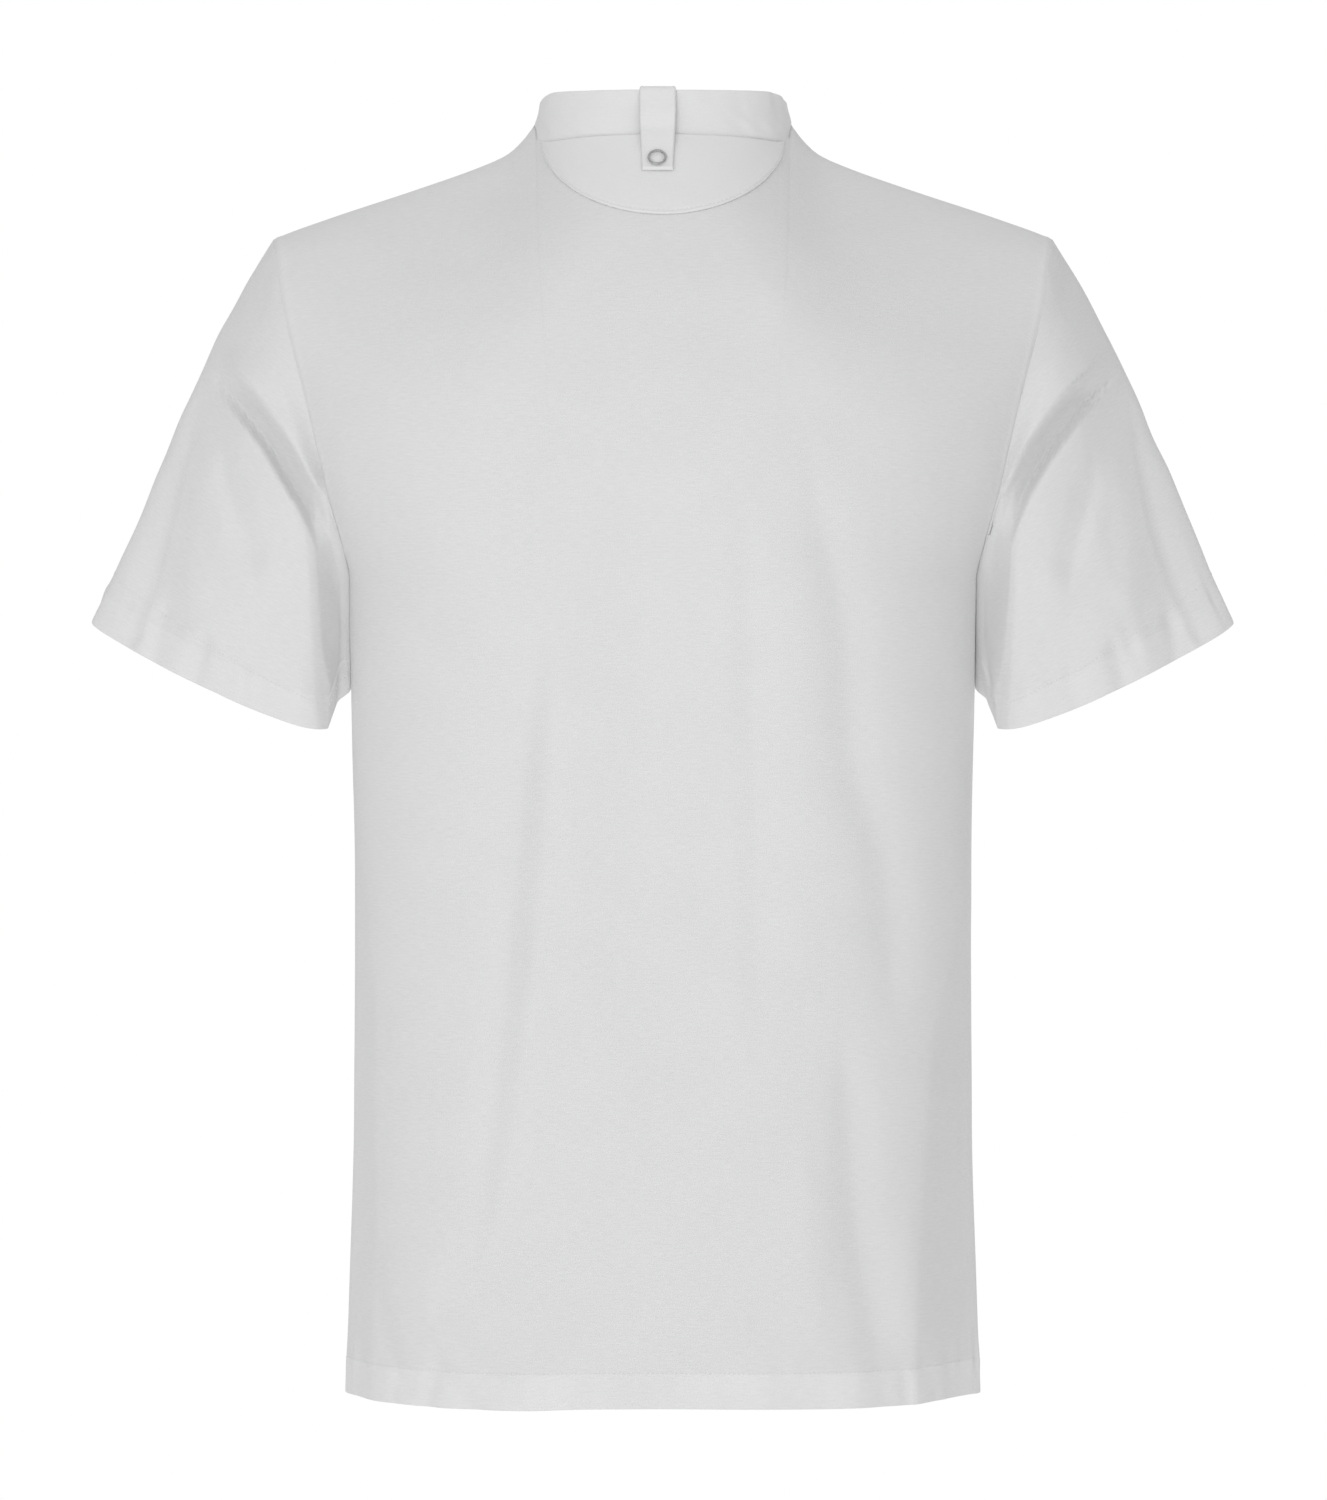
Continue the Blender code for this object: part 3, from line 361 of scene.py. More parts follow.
SLEEVE_RIGHT_FOLDS = (
    # in the order of the left sleeve's
    Fold(((-0.2670, -0.1290), (-0.2580, -0.1400), (-0.2420, -0.1560), (-0.2328, -0.1675), (-0.2184, -0.1876),
          (-0.2075, -0.2065), (-0.2010, -0.2250), (-0.1980, -0.2400)), 0.0140, 0.0040, -0.0170, 0.28, 0.36, 1.0),
    Fold(((-0.2555, -0.1210), (-0.2455, -0.1330), (-0.2318, -0.1487), (-0.2222, -0.1600), (-0.2078, -0.1800),
          (-0.1957, -0.1990), (-0.1890, -0.2110)), 0.0220, 0.0060, 0.0085, 0.35, 0.15, 0.9),
    Fold(((-0.2230, -0.0610), (-0.2490, -0.1095), (-0.2692, -0.1520)), 0.016, 0.030, -0.0080, 0.3, 0.3, 0.3),
    Fold(((-0.264, -0.138), (-0.248, -0.158), (-0.230, -0.184), (-0.214, -0.209), (-0.2040, -0.237),
          (-0.2025, -0.265), (-0.2010, -0.305), (-0.1990, -0.345)), 0.006, 0.030, 0.0032, 0.4, 0.0, 0.4),
    Fold((*RIGHT_STEP, (-0.3210, -0.318)), 0.038, 0.040, -0.0200, 0.15, 0.0, 0.35),
    Fold((*RIGHT_STEP, (-0.3125, -0.294)), 0.0075, 0.012, -0.0145, 0.15, 0.1, 0.8),
    Fold(((-0.289, -0.270), (-0.2935, -0.287), (-0.297, -0.302)), 0.005, 0.005, -0.0042, 0.3, 0.0),
    Fold(((-0.302, -0.266), (-0.3055, -0.282), (-0.309, -0.296)), 0.004, 0.005, 0.0028, 0.3, 0.0),
    Fold(((-0.257, -0.286), (-0.262, -0.302), (-0.266, -0.318)), 0.006, 0.007, -0.0034, 0.3, 0.0),
    Fold(((-0.232, -0.302), (-0.236, -0.316), (-0.239, -0.330)), 0.005, 0.005, -0.0020, 0.3, 0.0),
    Fold(((-0.250, -0.178), (-0.244, -0.213), (-0.237, -0.240), (-0.231, -0.266)), 0.013, 0.008, -0.0040, 0.3, 0.3,
         0.4),
    Fold(((-0.260, -0.165), (-0.266, -0.210), (-0.270, -0.245), (-0.268, -0.285)), 0.010, 0.014, 0.0030, 0.3, 0.2),
    Fold(((-0.216, -0.240), (-0.224, -0.268), (-0.224, -0.295)), 0.016, 0.014, 0.0026, 0.4, 0.4),
    Fold(((-0.234, -0.080), (-0.248, -0.102), (-0.258, -0.114)), 0.018, 0.014, 0.0014, 0.4, 0.4),
)
FOLD_SAMPLES = 48
FOLD_TAPER = 0.45           # a fold's width at its ends, as a share of its whole width
SOFT_POWER = 1.8            # of a soft fold's profile
CRISP_CREST = 0.004         # rounding of a crisp fold's crest and foot
CRISP_FOOT = 0.02
CREST_BLEND = 0.002         # a fold's width changes from one side to the other over this distance
FOLD_CLEAR = 0.012          # folds reach their full height this far from the side seams
FOLD_CLEAR_TOP = 0.060      # from the neck and shoulder seams
SLEEVE_FOLD_CLEAR = 0.020   # and from the armhole seams
FACING = 0.42               # folds move the cloth along Y, and are lost where it turns away this far
FOLD_ROOM = 0.55            # troughs take no more than this share of the distance to the middle
SLEEVE_FRONT_FOLDS = 0.4    # how strong the same folds are on the front of a sleeve
FRONT_BLEND = 0.6           # reached over this change of the sine of the turn, around the sleeve's edges
LATTICE = 64                # random values each way before they repeat
LATTICE_START = 20
SURFACE = ((0.060, 0.0004), (0.026, 0.0002))    # sizes and heights of the panels' unevenness
SURFACE_TOP = {BACK: (0.085, 0.135), FRONT: (0.0, 0.060)}   # none up to this far below the top, and whole from there
SURFACE_CLEAR = 0.020       # and whole this far from the side seams
SLEEVE_SURFACE = 0.0006

# Looks
CLOTH_WHITE = 0.775
DOUBLE_WHITE = 0.835        # where two layers let less of the dark inside through
CUFF_WHITE = 0.805
THREAD_WHITE = 0.86
NICKEL = (0.50, 0.50, 0.51)
WALE = 0.0016               # pique's cells, across and along
COURSE = 0.0013
SLUBS = (150.0, 1100.0)     # cells of noise for each metre along u and v
YARN = (900.0, 900.0)
CLOUDS = (22.0, 30.0)
BAND_CLOUDS = (24.0, 8.0)
TWIST = 9000.0              # of the sewing thread, along u and v
TURNED_GRAIN = (500.0, 9000.0)
DULL_PATCHES = (700.0, 700.0)
COOL = 1.002                # blue against red in the whites

# Studio
CAMERA_DISTANCE = 4.2
CAMERA_X = -0.0003
CAMERA_Z = -0.354
FRAME_HEIGHT = 0.870        # height of what the camera sees at the origin
SENSOR = 36.0
TENT_CEILING = 0.8          # the tent's light goes over to its ceiling's up to this sine of the height
TENT_SIDES = (0.16, 0.65)   # and to its sides' where the direction's share along Y is this small
WALL_LIGHT = 0.77           # of the tent behind and in front of the wearer
LEFT_LIGHT, RIGHT_LIGHT = 0.18, 0.12    # the tent's sides beside the wearer's left and right
CEILING_LIGHT = 0.77
KEY_POWER = 27.0
KEY_SIZE = 1.8
KEY_PLACE = (1.2, 4.0, -0.5)    # the other key light faces it from in front of the wearer
KEY_TARGET_Z = -0.35
FLOOR_Z = -0.96
FLOOR_RADIUS = 2.2
FLOOR_GRID = (12, 96)
FLOOR_FADE = (0.6111, 1.7222)   # its colour goes over into the white between these distances from its middle


# ---------------------------------------------------------------- curves and forms

def column(table, name):
    """One named column of a table as an array."""
    return np.array([getattr(row, name) for row in table], dtype=float)


def smooth(at, knots, values):
    """Cubic curve through (knots, values) whose slope at a knot is the harmonic mean of its chords: no overshoot."""
    at = np.clip(at, knots[0], knots[-1])
    step = np.diff(knots)
    chord = np.diff(values) / step
    product = chord[:-1] * chord[1:]
    total = np.where(product > 0, chord[:-1] + chord[1:], 1.0)
    slope = np.concatenate(([chord[0]], np.where(product > 0, 2 * product / total, 0.0), [chord[-1]]))
    cell = np.clip(np.searchsorted(knots, at, side="right") - 1, 0, len(step) - 1)
    width = step[cell]
    t = (at - knots[cell]) / width
    start = (2 * t + 1) * (1 - t) ** 2 * values[cell] + t * (1 - t) ** 2 * width * slope[cell]
    end = t * t * (3 - 2 * t) * values[cell + 1] - t * t * (1 - t) * width * slope[cell + 1]
    return start + end


def ease(t):
    """0 to 1 with flat ends: 3t^2 - 2t^3."""
    t = np.clip(t, 0.0, 1.0)
    return t * t * (3 - 2 * t)


def fall(t, whole, gone):
    """1 up to the first value and 0 from the second, eased between."""
    return ease((gone - t) / (gone - whole))


def hill(distance, width):
    """exp(-(d / width)^2)."""
    return np.exp(-(distance / width) ** 2)


def line_relief(distance, line):
    """The relief of a Line at a distance from the edge."""
    return line.height * hill(distance - line.at, line.width)


def unit(vectors):
    """The vectors at length 1."""
    return vectors / np.maximum(np.linalg.norm(vectors, axis=-1, keepdims=True), TINY)


def level(z, name):
    """The body's half width or depth at height z."""
    return smooth(z, column(LEVELS, "z"), column(LEVELS, name))


def ridge(x, name="z"):
    """Height of the shoulder ridge at x."""
    return smooth(np.abs(x), column(RIDGE, "x"), column(RIDGE, name))


def neck(angle, name):
    """Height of the neck seam or the collar's top at an angle round the neck."""
    return smooth(np.abs(angle), column(NECK, "angle"), column(NECK, name))


def on_oval(angle, oval, z):
    """Points of an oval round the neck: x = half * sin(angle), y = back or front * cos(angle)."""
    turn = np.radians(angle)
    reach = np.where(np.cos(turn) > 0, oval.back, oval.front)
    return np.stack([oval.half * np.sin(turn), reach * np.cos(turn), z], axis=-1)


def seam_angle(x, side):
    """Angle round the neck at which the neck seam passes x, on the back or the front."""
    near = np.degrees(np.arcsin(np.clip(np.abs(x) / SEAM_OVAL.half, 0, 1)))
    return near if side == BACK else 180 - near


def top_line(x, side):
    """Height of a panel's top edge: the neck seam, then the shoulder seam."""
    return np.where(np.abs(x) < SEAM_OVAL.half, neck(seam_angle(x, side), "seam"), ridge(x))


def domed(x, z, side):
    """Centre depth at height z, rounded over to nothing where the cloth reaches the shoulder ridge."""
    drop = ridge(x) - z
    drop = drop + (ridge(x, "broad") - ridge(x)) * ease(drop / BROAD_DROP)
    below = 1 - np.clip(drop / RIDGE_REACH, 0, 1)
    quarter = 1 - below * below
    centre = level(z, "back" if side == BACK else "front")
    return centre * np.sqrt(quarter) * (RIDGE_FULLNESS + (1 - RIDGE_FULLNESS) * quarter)


def armhole_share(z, side):
    """The armhole's half depth at height z as a share of the cloth's own depth there."""
    middle = (ARMPIT_Z + TIP[1]) / 2
    height = np.clip((z - middle) / (TIP[1] - middle), -1, 1)
    armhole = (ARMHOLE_BACK if side == BACK else ARMHOLE_FRONT) * np.sqrt(1 - height * height)
    edge = np.where(z < TIP[1], armhole / np.maximum(domed(level(z, "half"), z, side), TINY), 1.0)
    return np.clip(edge, 0, 1) * (z > ARMPIT_Z)


def reach(x, z, side):
    """How far the cloth stands from the x-z plane: |x / half|^n + |y / depth|^n = 1, wider than the panel above the
    armpits, so that at the panel's edge it has the armhole's half depth."""
    narrowing = np.clip(np.abs(x) / level(z, "half"), 0, 1) ** SIDE_ROUNDNESS
    narrowing = narrowing * (1 - armhole_share(z, side) ** SIDE_ROUNDNESS)
    return domed(x, z, side) * (1 - narrowing) ** (1 / SIDE_ROUNDNESS)


def side_x(depth, z, side):
    """The x at which the cloth stands this deep: the form of reach, solved for x."""
    half = level(z, "half")
    share = 1 - np.clip(depth / np.maximum(domed(half, z, side), TINY), 0, 1) ** SIDE_ROUNDNESS
    share = share / np.maximum(1 - armhole_share(z, side) ** SIDE_ROUNDNESS, TINY)
    return half * np.clip(share, 0, 1) ** (1 / SIDE_ROUNDNESS)


def cloth_y(x, z, side):
    """y of the back or front cloth: its reach, turned up to the neck seam near the neck."""
    top = top_line(x, side)
    climb = (z - ARMPIT_Z) / (top - ARMPIT_Z)
    turned = np.clip((climb - (1 - NECK_BLEND)) / NECK_BLEND, 0, 1) ** 2 * (np.abs(x) < SEAM_OVAL.half)
    seam_y = np.abs(on_oval(seam_angle(x, side), SEAM_OVAL, top)[..., 1])
    return side * (reach(x, z, side) + (seam_y - reach(x, top, side)) * turned)


def calm_y(x, z, side):
    """cloth_y averaged over a small window with cosine weights. The window shrinks to nothing at a panel's edges, so
    its seams stay where they are, and the form loses the fine creases of its tables."""
    room_x = (level(z, "half") - np.abs(x)) * CALM_SIDE
    room_z = np.minimum((top_line(x, side) - z) * CALM_TOP, (z - HEM_Z) * CALM_HEM)
    wide = np.clip(np.minimum(room_x, room_z), 0, CALM)
    offsets = np.array(CALM_SAMPLES)
    weights = np.cos(offsets * np.pi / 2) ** 2
    weights = weights / weights.sum()
    total = np.zeros(np.broadcast(x, z).shape)
    for share_x, weight_x in zip(offsets, weights):
        for share_z, weight_z in zip(offsets, weights):
            total += weight_x * weight_z * cloth_y(x + wide * share_x, z + wide * share_z, side)
    return total


def on_cloth(x, z, side, out=0.0):
    """Points of the calm back or front form, moved out along its normal."""
    step = NORMAL_STEP
    y = calm_y(x, z, side)
    slope_x = (calm_y(x + step, z, side) - calm_y(x - step, z, side)) / (2 * step)
    slope_z = (y - calm_y(x, z - step, side)) / step
    normal = unit(np.stack([-slope_x, np.ones_like(y), -slope_z], axis=-1)) * side
    return np.stack([x + 0 * y, y, z + 0 * y], axis=-1) + normal * out


# ---------------------------------------------------------------- cloth detail

def lattice(u, v, size, seed):
    """Soft unevenness from -1 to 1: random values on a square lattice of the given size, eased between its points."""
    table = np.random.default_rng(seed).uniform(-1, 1, (LATTICE, LATTICE))
    a, b = np.asarray(u) / size + LATTICE_START, np.asarray(v) / size + LATTICE_START
    i, j = np.floor(a).astype(int), np.floor(b).astype(int)
    s, t = ease(a - i), ease(b - j)
    i, j, right, above = i % LATTICE, j % LATTICE, (i + 1) % LATTICE, (j + 1) % LATTICE
    low = table[i, j] * (1 - s) + table[right, j] * s
    high = table[i, above] * (1 - s) + table[right, above] * s
    return low * (1 - t) + high * t


def uneven_relief(u, v, uneven):
    """The relief of an Uneven at (u, v)."""
    return lattice(u, v, uneven.size, uneven.seed) * uneven.height


def fold_lift(x, z, folds):
    """Sum of the folds: lift * profile(d / width), with d the distance to the crest, which is square to it and goes
    round its ends, and a width for each side. The profile is exp(-q^1.8) for a soft fold and 1 - q for a crisp one,
    and both width and lift grow and fade along the crest."""
    total = np.zeros_like(x)
    along = np.linspace(0, 1, FOLD_SAMPLES)
    for fold in folds:
        path = np.array(fold.path)
        knots = np.linspace(0, 1, len(path))
        line_x = smooth(along, knots, path[:, 0])
        line_z = smooth(along, knots, path[:, 1])
        pitch_x, pitch_z = np.gradient(line_x), np.gradient(line_z)
        nearest = np.argmin(np.hypot(x[..., None] - line_x, z[..., None] - line_z), axis=-1)
        away_x, away_z = x - line_x[nearest], z - line_z[nearest]
        pitch = np.hypot(pitch_x, pitch_z)[nearest]
        ahead_x, ahead_z = pitch_x[nearest] / pitch, pitch_z[nearest] / pitch
        ahead = away_x * ahead_x + away_z * ahead_z
        across = ahead_x * away_z - ahead_z * away_x
        near = np.hypot(across, np.maximum(np.abs(ahead) - pitch / 2, 0))
        side = ease(0.5 + across / CREST_BLEND)
        place = np.clip(along[nearest] + np.clip(ahead / pitch, -0.5, 0.5) * along[1], 0, 1)
        strength = np.ones_like(place)
        if fold.grow:
            strength = strength * ease(place / fold.grow)
        if fold.fade:
            strength = strength * ease((1 - place) / fold.fade)
        width = (fold.right + (fold.left - fold.right) * side) * (FOLD_TAPER + (1 - FOLD_TAPER) * strength)
        q = near / width
        flat = np.sqrt(np.clip(1 - np.sqrt(q * q + CRISP_CREST), 0, 1) ** 2 + CRISP_FOOT ** 2) - CRISP_FOOT
        total += fold.lift * strength * ((1 - fold.crisp) * np.exp(-q ** SOFT_POWER) + fold.crisp * flat)
    return total


def kept_inside(lift, room):
    """A lift whose troughs are no deeper than the room for them: -room * tanh(-lift / room)."""
    room = np.maximum(room, TINY)
    return np.where(lift < 0, -room * np.tanh(-lift / room), lift)


def stitch_line(distance, run, seed, pucker=PUCKER):
    """Relief along a line of stitches: a narrow dip on it, and uneven puckers that fade to both sides of it."""
    dip = -STITCH_DIP * hill(distance, STITCH_DIP_WIDTH)
    wave = lattice(run, 0 * run, PUCKER_SIZE, seed) + 0.6 * lattice(run, 0 * run, PUCKER_SIZE * 2.3, seed + 1)
    uneven = 0.35 + 0.65 * ease(0.5 + lattice(run, 0 * run, PUCKER_RHYTHM, seed + 2))
    return dip + pucker * wave * uneven * np.exp(-np.abs(distance) / PUCKER_REACH)


def hem_layers(up, hem):
    """The step of the outer face over a turned hem and the thickness of the cloth, at a height over the cut edge."""
    thick = CLOTH + (HEM_LAYERS - CLOTH) * fall(up - hem, *HEM_LAYER_SPAN)
    return HEM_STEP * fall(up - hem, *HEM_STEP_SPAN), thick


def stud_dent(distance):
    """The cloth round a stud: pressed in under its ring and swelling in its hole."""
    return line_relief(distance, STUD_PRESS) + line_relief(distance, STUD_SWELL)


def rounding(distance, radius):
    """0 at a cut edge, rising to 1 over a quarter circle of the given radius."""
    near = 1 - np.clip(distance / radius, 0, 1)
    return np.sqrt(1 - near * near)


def rounded_wall(outer, normals, thick, to_edge, to_seam):
    """Both faces of a cloth of the given thickness. Its cut edges are rounded over to the middle of the thickness, and
    at a seam the inner face rises to the outer one, so that two pieces meet edge to edge."""
    pulled = (1 - rounding(to_edge, CLOTH / 2)) * thick / 2
    rising = (1 - rounding(to_seam, CLOTH / 2)) * (thick - 2 * pulled)
    inner = outer - normals * (thick - pulled - rising)[..., None]
    return outer - normals * pulled[..., None], inner


def run_along(points, axis):
    """Length along a grid direction, from its first line."""
    steps = np.linalg.norm(np.diff(points, axis=axis), axis=-1)
    start = np.zeros_like(np.take(steps, [0], axis=axis))
    return np.concatenate([start, np.cumsum(steps, axis=axis)], axis=axis)


def grid_normals(points, middle, wraps=False):
    """Normals of a grid, from the cross product of its two directions, turned away from the middle."""
    down = np.gradient(points, axis=0)
    along = np.gradient(points, axis=1)
    if wraps:
        along = np.roll(points, -1, axis=1) - np.roll(points, 1, axis=1)
    normals = unit(np.cross(down, along))
    inward = np.sum(normals * (points - middle), axis=-1, keepdims=True) < 0
    return np.where(inward, -normals, normals)


def merged_lines(*groups):
    """The positions of all groups in order, without those that nearly coincide."""
    at = np.unique(np.concatenate([np.asarray(group, dtype=float) for group in groups]))
    keep = np.concatenate([[True], np.diff(at) > NEARLY_THE_SAME])
    return at[keep]


def edge_lines(length, at_start=True, at_end=True):
    """Grid positions close to the ends of a length."""
    lines = np.array(EDGE_LINES)
    return np.concatenate([lines if at_start else [0.0], length - lines if at_end else [length]])


# ---------------------------------------------------------------- meshes

def add_mesh(name, points, faces, loops_uv, material):
    """A smooth mesh object from arrays of points, quads and UVs for each face corner."""
    mesh = bpy.data.meshes.new(name)
    mesh.from_pydata(points.tolist(), [], faces.tolist())
    layer = mesh.uv_layers.new(name="cloth")
    layer.data.foreach_set("uv", loops_uv.reshape(-1).astype(np.float32))
    mesh.materials.append(material)
    mesh.polygons.foreach_set("use_smooth", np.ones(len(faces), dtype=bool))
    mesh.update()
    piece = bpy.data.objects.new(name, mesh)
    bpy.context.scene.collection.objects.link(piece)
    return piece


def add_shell(name, outer, inner, uv, material, wraps=False):
    """A closed shell between two grids that share their boundary. uv has one column more than a grid that wraps.

    The faces turn outwards where down x along of the outer grid points out, and are flipped where it doesn't.
    """
    rows, cols = outer.shape[:2]
    front = np.arange(rows * cols).reshape(rows, cols)
    back = front + rows * cols
    back[0], back[-1] = front[0], front[-1]
    if not wraps:
        back[:, 0], back[:, -1] = front[:, 0], front[:, -1]
        corner = np.arange(rows * cols).reshape(rows, cols)
    else:
        corner = np.arange(rows * (cols + 1)).reshape(rows, cols + 1)
    uv_flat = uv.reshape(-1, 2)

    def cells(index, closed):
        right = np.roll(index, -1, axis=1) if closed else index[:, 1:]
        left = index if closed else index[:, :-1]
        return np.stack([left[:-1], right[:-1], right[1:], left[1:]], axis=-1).reshape(-1, 4)

    places = cells(corner, False)
    outside, inside = cells(front, wraps), cells(back, wraps)
    points = np.concatenate([outer.reshape(-1, 3), inner.reshape(-1, 3)])
    first = points[outside]
    turn = np.cross(first[:, 1] - first[:, 0], first[:, 3] - first[:, 0]).reshape(rows - 1, -1, 3)
    gap = (outer - inner)[:-1, :turn.shape[1]]
    if np.sum(turn * gap) < 0:
        outside, places_out, places_in = outside[:, ::-1], places[:, ::-1], places
    else:
        inside, places_out, places_in = inside[:, ::-1], places, places[:, ::-1]
    faces = np.concatenate([outside, inside])
    used = np.zeros(len(points), dtype=bool)
    used[faces.reshape(-1)] = True
    renumber = np.cumsum(used) - 1
    loops_uv = uv_flat[np.concatenate([places_out, places_in]).reshape(-1)]
    return add_mesh(name, points[used], renumber[faces], loops_uv, material)


def add_thread(name, lines, material, pitch=STITCH):
    """Stitches along lines of (points, normals): each is a spindle, radius r * sqrt(1 - (2t - 1)^4), that dives into
    the cloth at its ends. All of them are one joined mesh. Each six-sided end is closed by two quads."""
    sides, rings = THREAD_SIDES, THREAD_RINGS
    turn = np.linspace(0, 2 * np.pi, sides, endpoint=False)
    t = np.linspace(*THREAD_ENDS, rings)
    radius = THREAD * np.sqrt(1 - (2 * t - 1) ** 4)
    rise = THREAD * (1.1 * np.sin(np.pi * t) - 0.5)
    all_points, all_faces = [], []
    count = 0
    for points, normals in lines:
        run = run_along(points, 0)
        number = int(run[-1] / pitch)
        starts = (np.arange(number) + 0.5 * (1 - STITCH_SHARE)) * run[-1] / number
        at = starts[:, None] + t * STITCH_SHARE * pitch
        middle = np.stack([np.interp(at, run, points[:, k]) for k in range(3)], axis=-1)
        up = unit(np.stack([np.interp(at, run, normals[:, k]) for k in range(3)], axis=-1))
        ahead = unit(np.gradient(middle, axis=1))
        across = unit(np.cross(ahead, up))
        ring = across[:, :, None] * np.cos(turn)[:, None] + up[:, :, None] * np.sin(turn)[:, None]
        body = middle[:, :, None] + up[:, :, None] * rise[:, None, None] + ring * radius[:, None, None]
        index = np.arange(number * rings * sides).reshape(number, rings, sides) + count
        after = np.roll(index, -1, axis=2)
        quads = np.stack([index[:, :-1], after[:, :-1], after[:, 1:], index[:, 1:]], axis=-1).reshape(-1, 4)
        all_points.append(body.reshape(-1, 3))
        all_faces += [quads, index[:, 0, [0, 5, 4, 3]], index[:, 0, [3, 2, 1, 0]],
                      index[:, -1, [0, 1, 2, 3]], index[:, -1, [3, 4, 5, 0]]]
        count += number * rings * sides
    points = np.concatenate(all_points)
    faces = np.concatenate(all_faces)
    uv = points[faces.reshape(-1)][:, [0, 2]]
    return add_mesh(name, points, faces, uv, material)


def enter(piece, node=None):
    """Puts a piece on the shirt's one body and hides the solid that it replaces."""
    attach(piece, "root")
    if node:
        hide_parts(node)
    return piece


def add_laid(name, node, base, out, thick, uv, material):
    """A closed strip that stands out from a base grid by its thickness, with its four edges on the base."""
    outer = base + out * thick[..., None]
    for edge in (np.s_[0], np.s_[-1], np.s_[:, 0], np.s_[:, -1]):
        outer[edge] = base[edge]
    return enter(add_shell(name, outer, base, uv, material), node), outer


# ---------------------------------------------------------------- materials

class Value:
    """A number on a shader socket. Python's operators on it add Math nodes."""

    def __init__(self, looks, socket):
        self.looks = looks
        self.socket = socket

    def math(self, operation, *terms):
        """The value of a new Math node with these terms."""
        return Value(self.looks, self.looks.node("ShaderNodeMath", {"operation": operation}, dict(enumerate(terms)))
                     .outputs[0])

    def __add__(self, other):
        return self.math("ADD", self, other)

    def __sub__(self, other):
        return self.math("SUBTRACT", self, other)

    def __rsub__(self, other):
        return self.math("SUBTRACT", other, self)

    def __mul__(self, other):
        return self.math("MULTIPLY", self, other)

    def sine(self):
        return self.math("SINE", self)

    def held(self):
        """Kept between 0 and 1."""
        return self.math("MINIMUM", self.math("MAXIMUM", self, 0.0), 1.0)


class Looks:
    """One node material."""

    def __init__(self, name):
        self.material = bpy.data.materials.new(name)
        self.material.use_nodes = True
        self.tree = self.material.node_tree
        self.shader = self.tree.nodes["Principled BSDF"]

    def node(self, kind, settings=None, inputs=None):
        """Adds a node, sets its settings, and then sets or links its inputs."""
        made = self.tree.nodes.new(kind)
        for name, value in (settings or {}).items():
            setattr(made, name, value)
        for name, value in (inputs or {}).items():
            self.put(made.inputs[name], value)
        return made

    def put(self, socket, value):
        """Links a value to a socket, or sets it there."""
        if isinstance(value, Value):
            value = value.socket
        if isinstance(value, bpy.types.NodeSocket):
            self.tree.links.new(value, socket)
        else:
            socket.default_value = value

    def surface_place(self):
        """u and v in metres along the piece's own surface."""
        place = self.node("ShaderNodeTexCoord").outputs["UV"]
        parts = self.node("ShaderNodeSeparateXYZ", inputs={0: place})
        return Value(self, parts.outputs[0]), Value(self, parts.outputs[1])

    def noise(self, u, v, cells, detail=2.0):
        """Noise from about 0.25 to 0.75 at (u, v), with so many cells for each metre."""
        at = self.node("ShaderNodeCombineXYZ", inputs={0: u * cells[0], 1: v * cells[1]})
        made = self.node("ShaderNodeTexNoise", inputs={"Vector": at.outputs[0], "Scale": 1.0, "Detail": detail})
        return Value(self, made.outputs[0])

    def mix(self, factor, first, second):
        """A colour between two, at the factor's share."""
        made = self.node("ShaderNodeMix", {"data_type": "RGBA"}, {0: factor, 6: first, 7: second})
        return made.outputs[2]

    def finish(self, **values):
        """Sets or links the shader's sockets, named with _ for a space."""
        for name, value in values.items():
            self.put(self.shader.inputs[name.replace("_", " ")], value)
        return self.material


def grey(value):
    """A white or grey that is cool by a trace."""
    return (value, value, value * COOL, 1.0)


def pique(name, single, double, band_height, slubs=1.0):
    """Pique: a lattice of small raised cells with slubs along the courses. Its colour carries painted shade: darker in
    the cells' valleys and where the slubs sink, lighter where they stand up, with random clouds over it. Below
    band_height the cloth is double and lighter, because less of the dark inside comes through."""
    looks = Looks(name)
    u, v = looks.surface_place()
    cells = (u * (2 * np.pi / WALE)).sine() * (v * (2 * np.pi / COURSE)).sine()
    slub = looks.noise(u, v, SLUBS, 3.0)
    yarn = looks.noise(u, v, YARN, 1.0)
    cloud = looks.noise(u, v, CLOUDS)
    uneven = (looks.noise(u, v, BAND_CLOUDS) - 0.5) * 2.2 + 0.6
    band = ((band_height - v) * 1200.0 + 0.5).held() * uneven.held()
    # painted shade: the colour follows the bump of the cells and slubs, darker where they are low; the clouds are
    # random colour
    tone_and_valley_shade = (cells * 0.08 + (slub - 0.5) * (1.5 * slubs) + (cloud - 0.5) * 0.45 + 0.5).held()
    plain = looks.mix(tone_and_valley_shade, grey(single * 0.95), grey(single * 1.045))
    doubled = looks.mix(tone_and_valley_shade, grey(double * 0.96), grey(double * 1.03))
    colour = looks.mix(band, plain, doubled)
    height = cells * 0.35 + (slub - 0.5) * (1.6 * slubs) + (yarn - 0.5) * 0.5
    bump = looks.node("ShaderNodeBump", inputs={"Strength": 0.42, "Distance": 0.0002, "Height": height})
    rough = (slub - 0.5) * 0.2 + 0.88
    return looks.finish(Base_Color=colour, Roughness=rough, Normal=bump.outputs[0], Sheen_Weight=0.03,
                        Sheen_Roughness=0.5, Specular_IOR_Level=0.12)


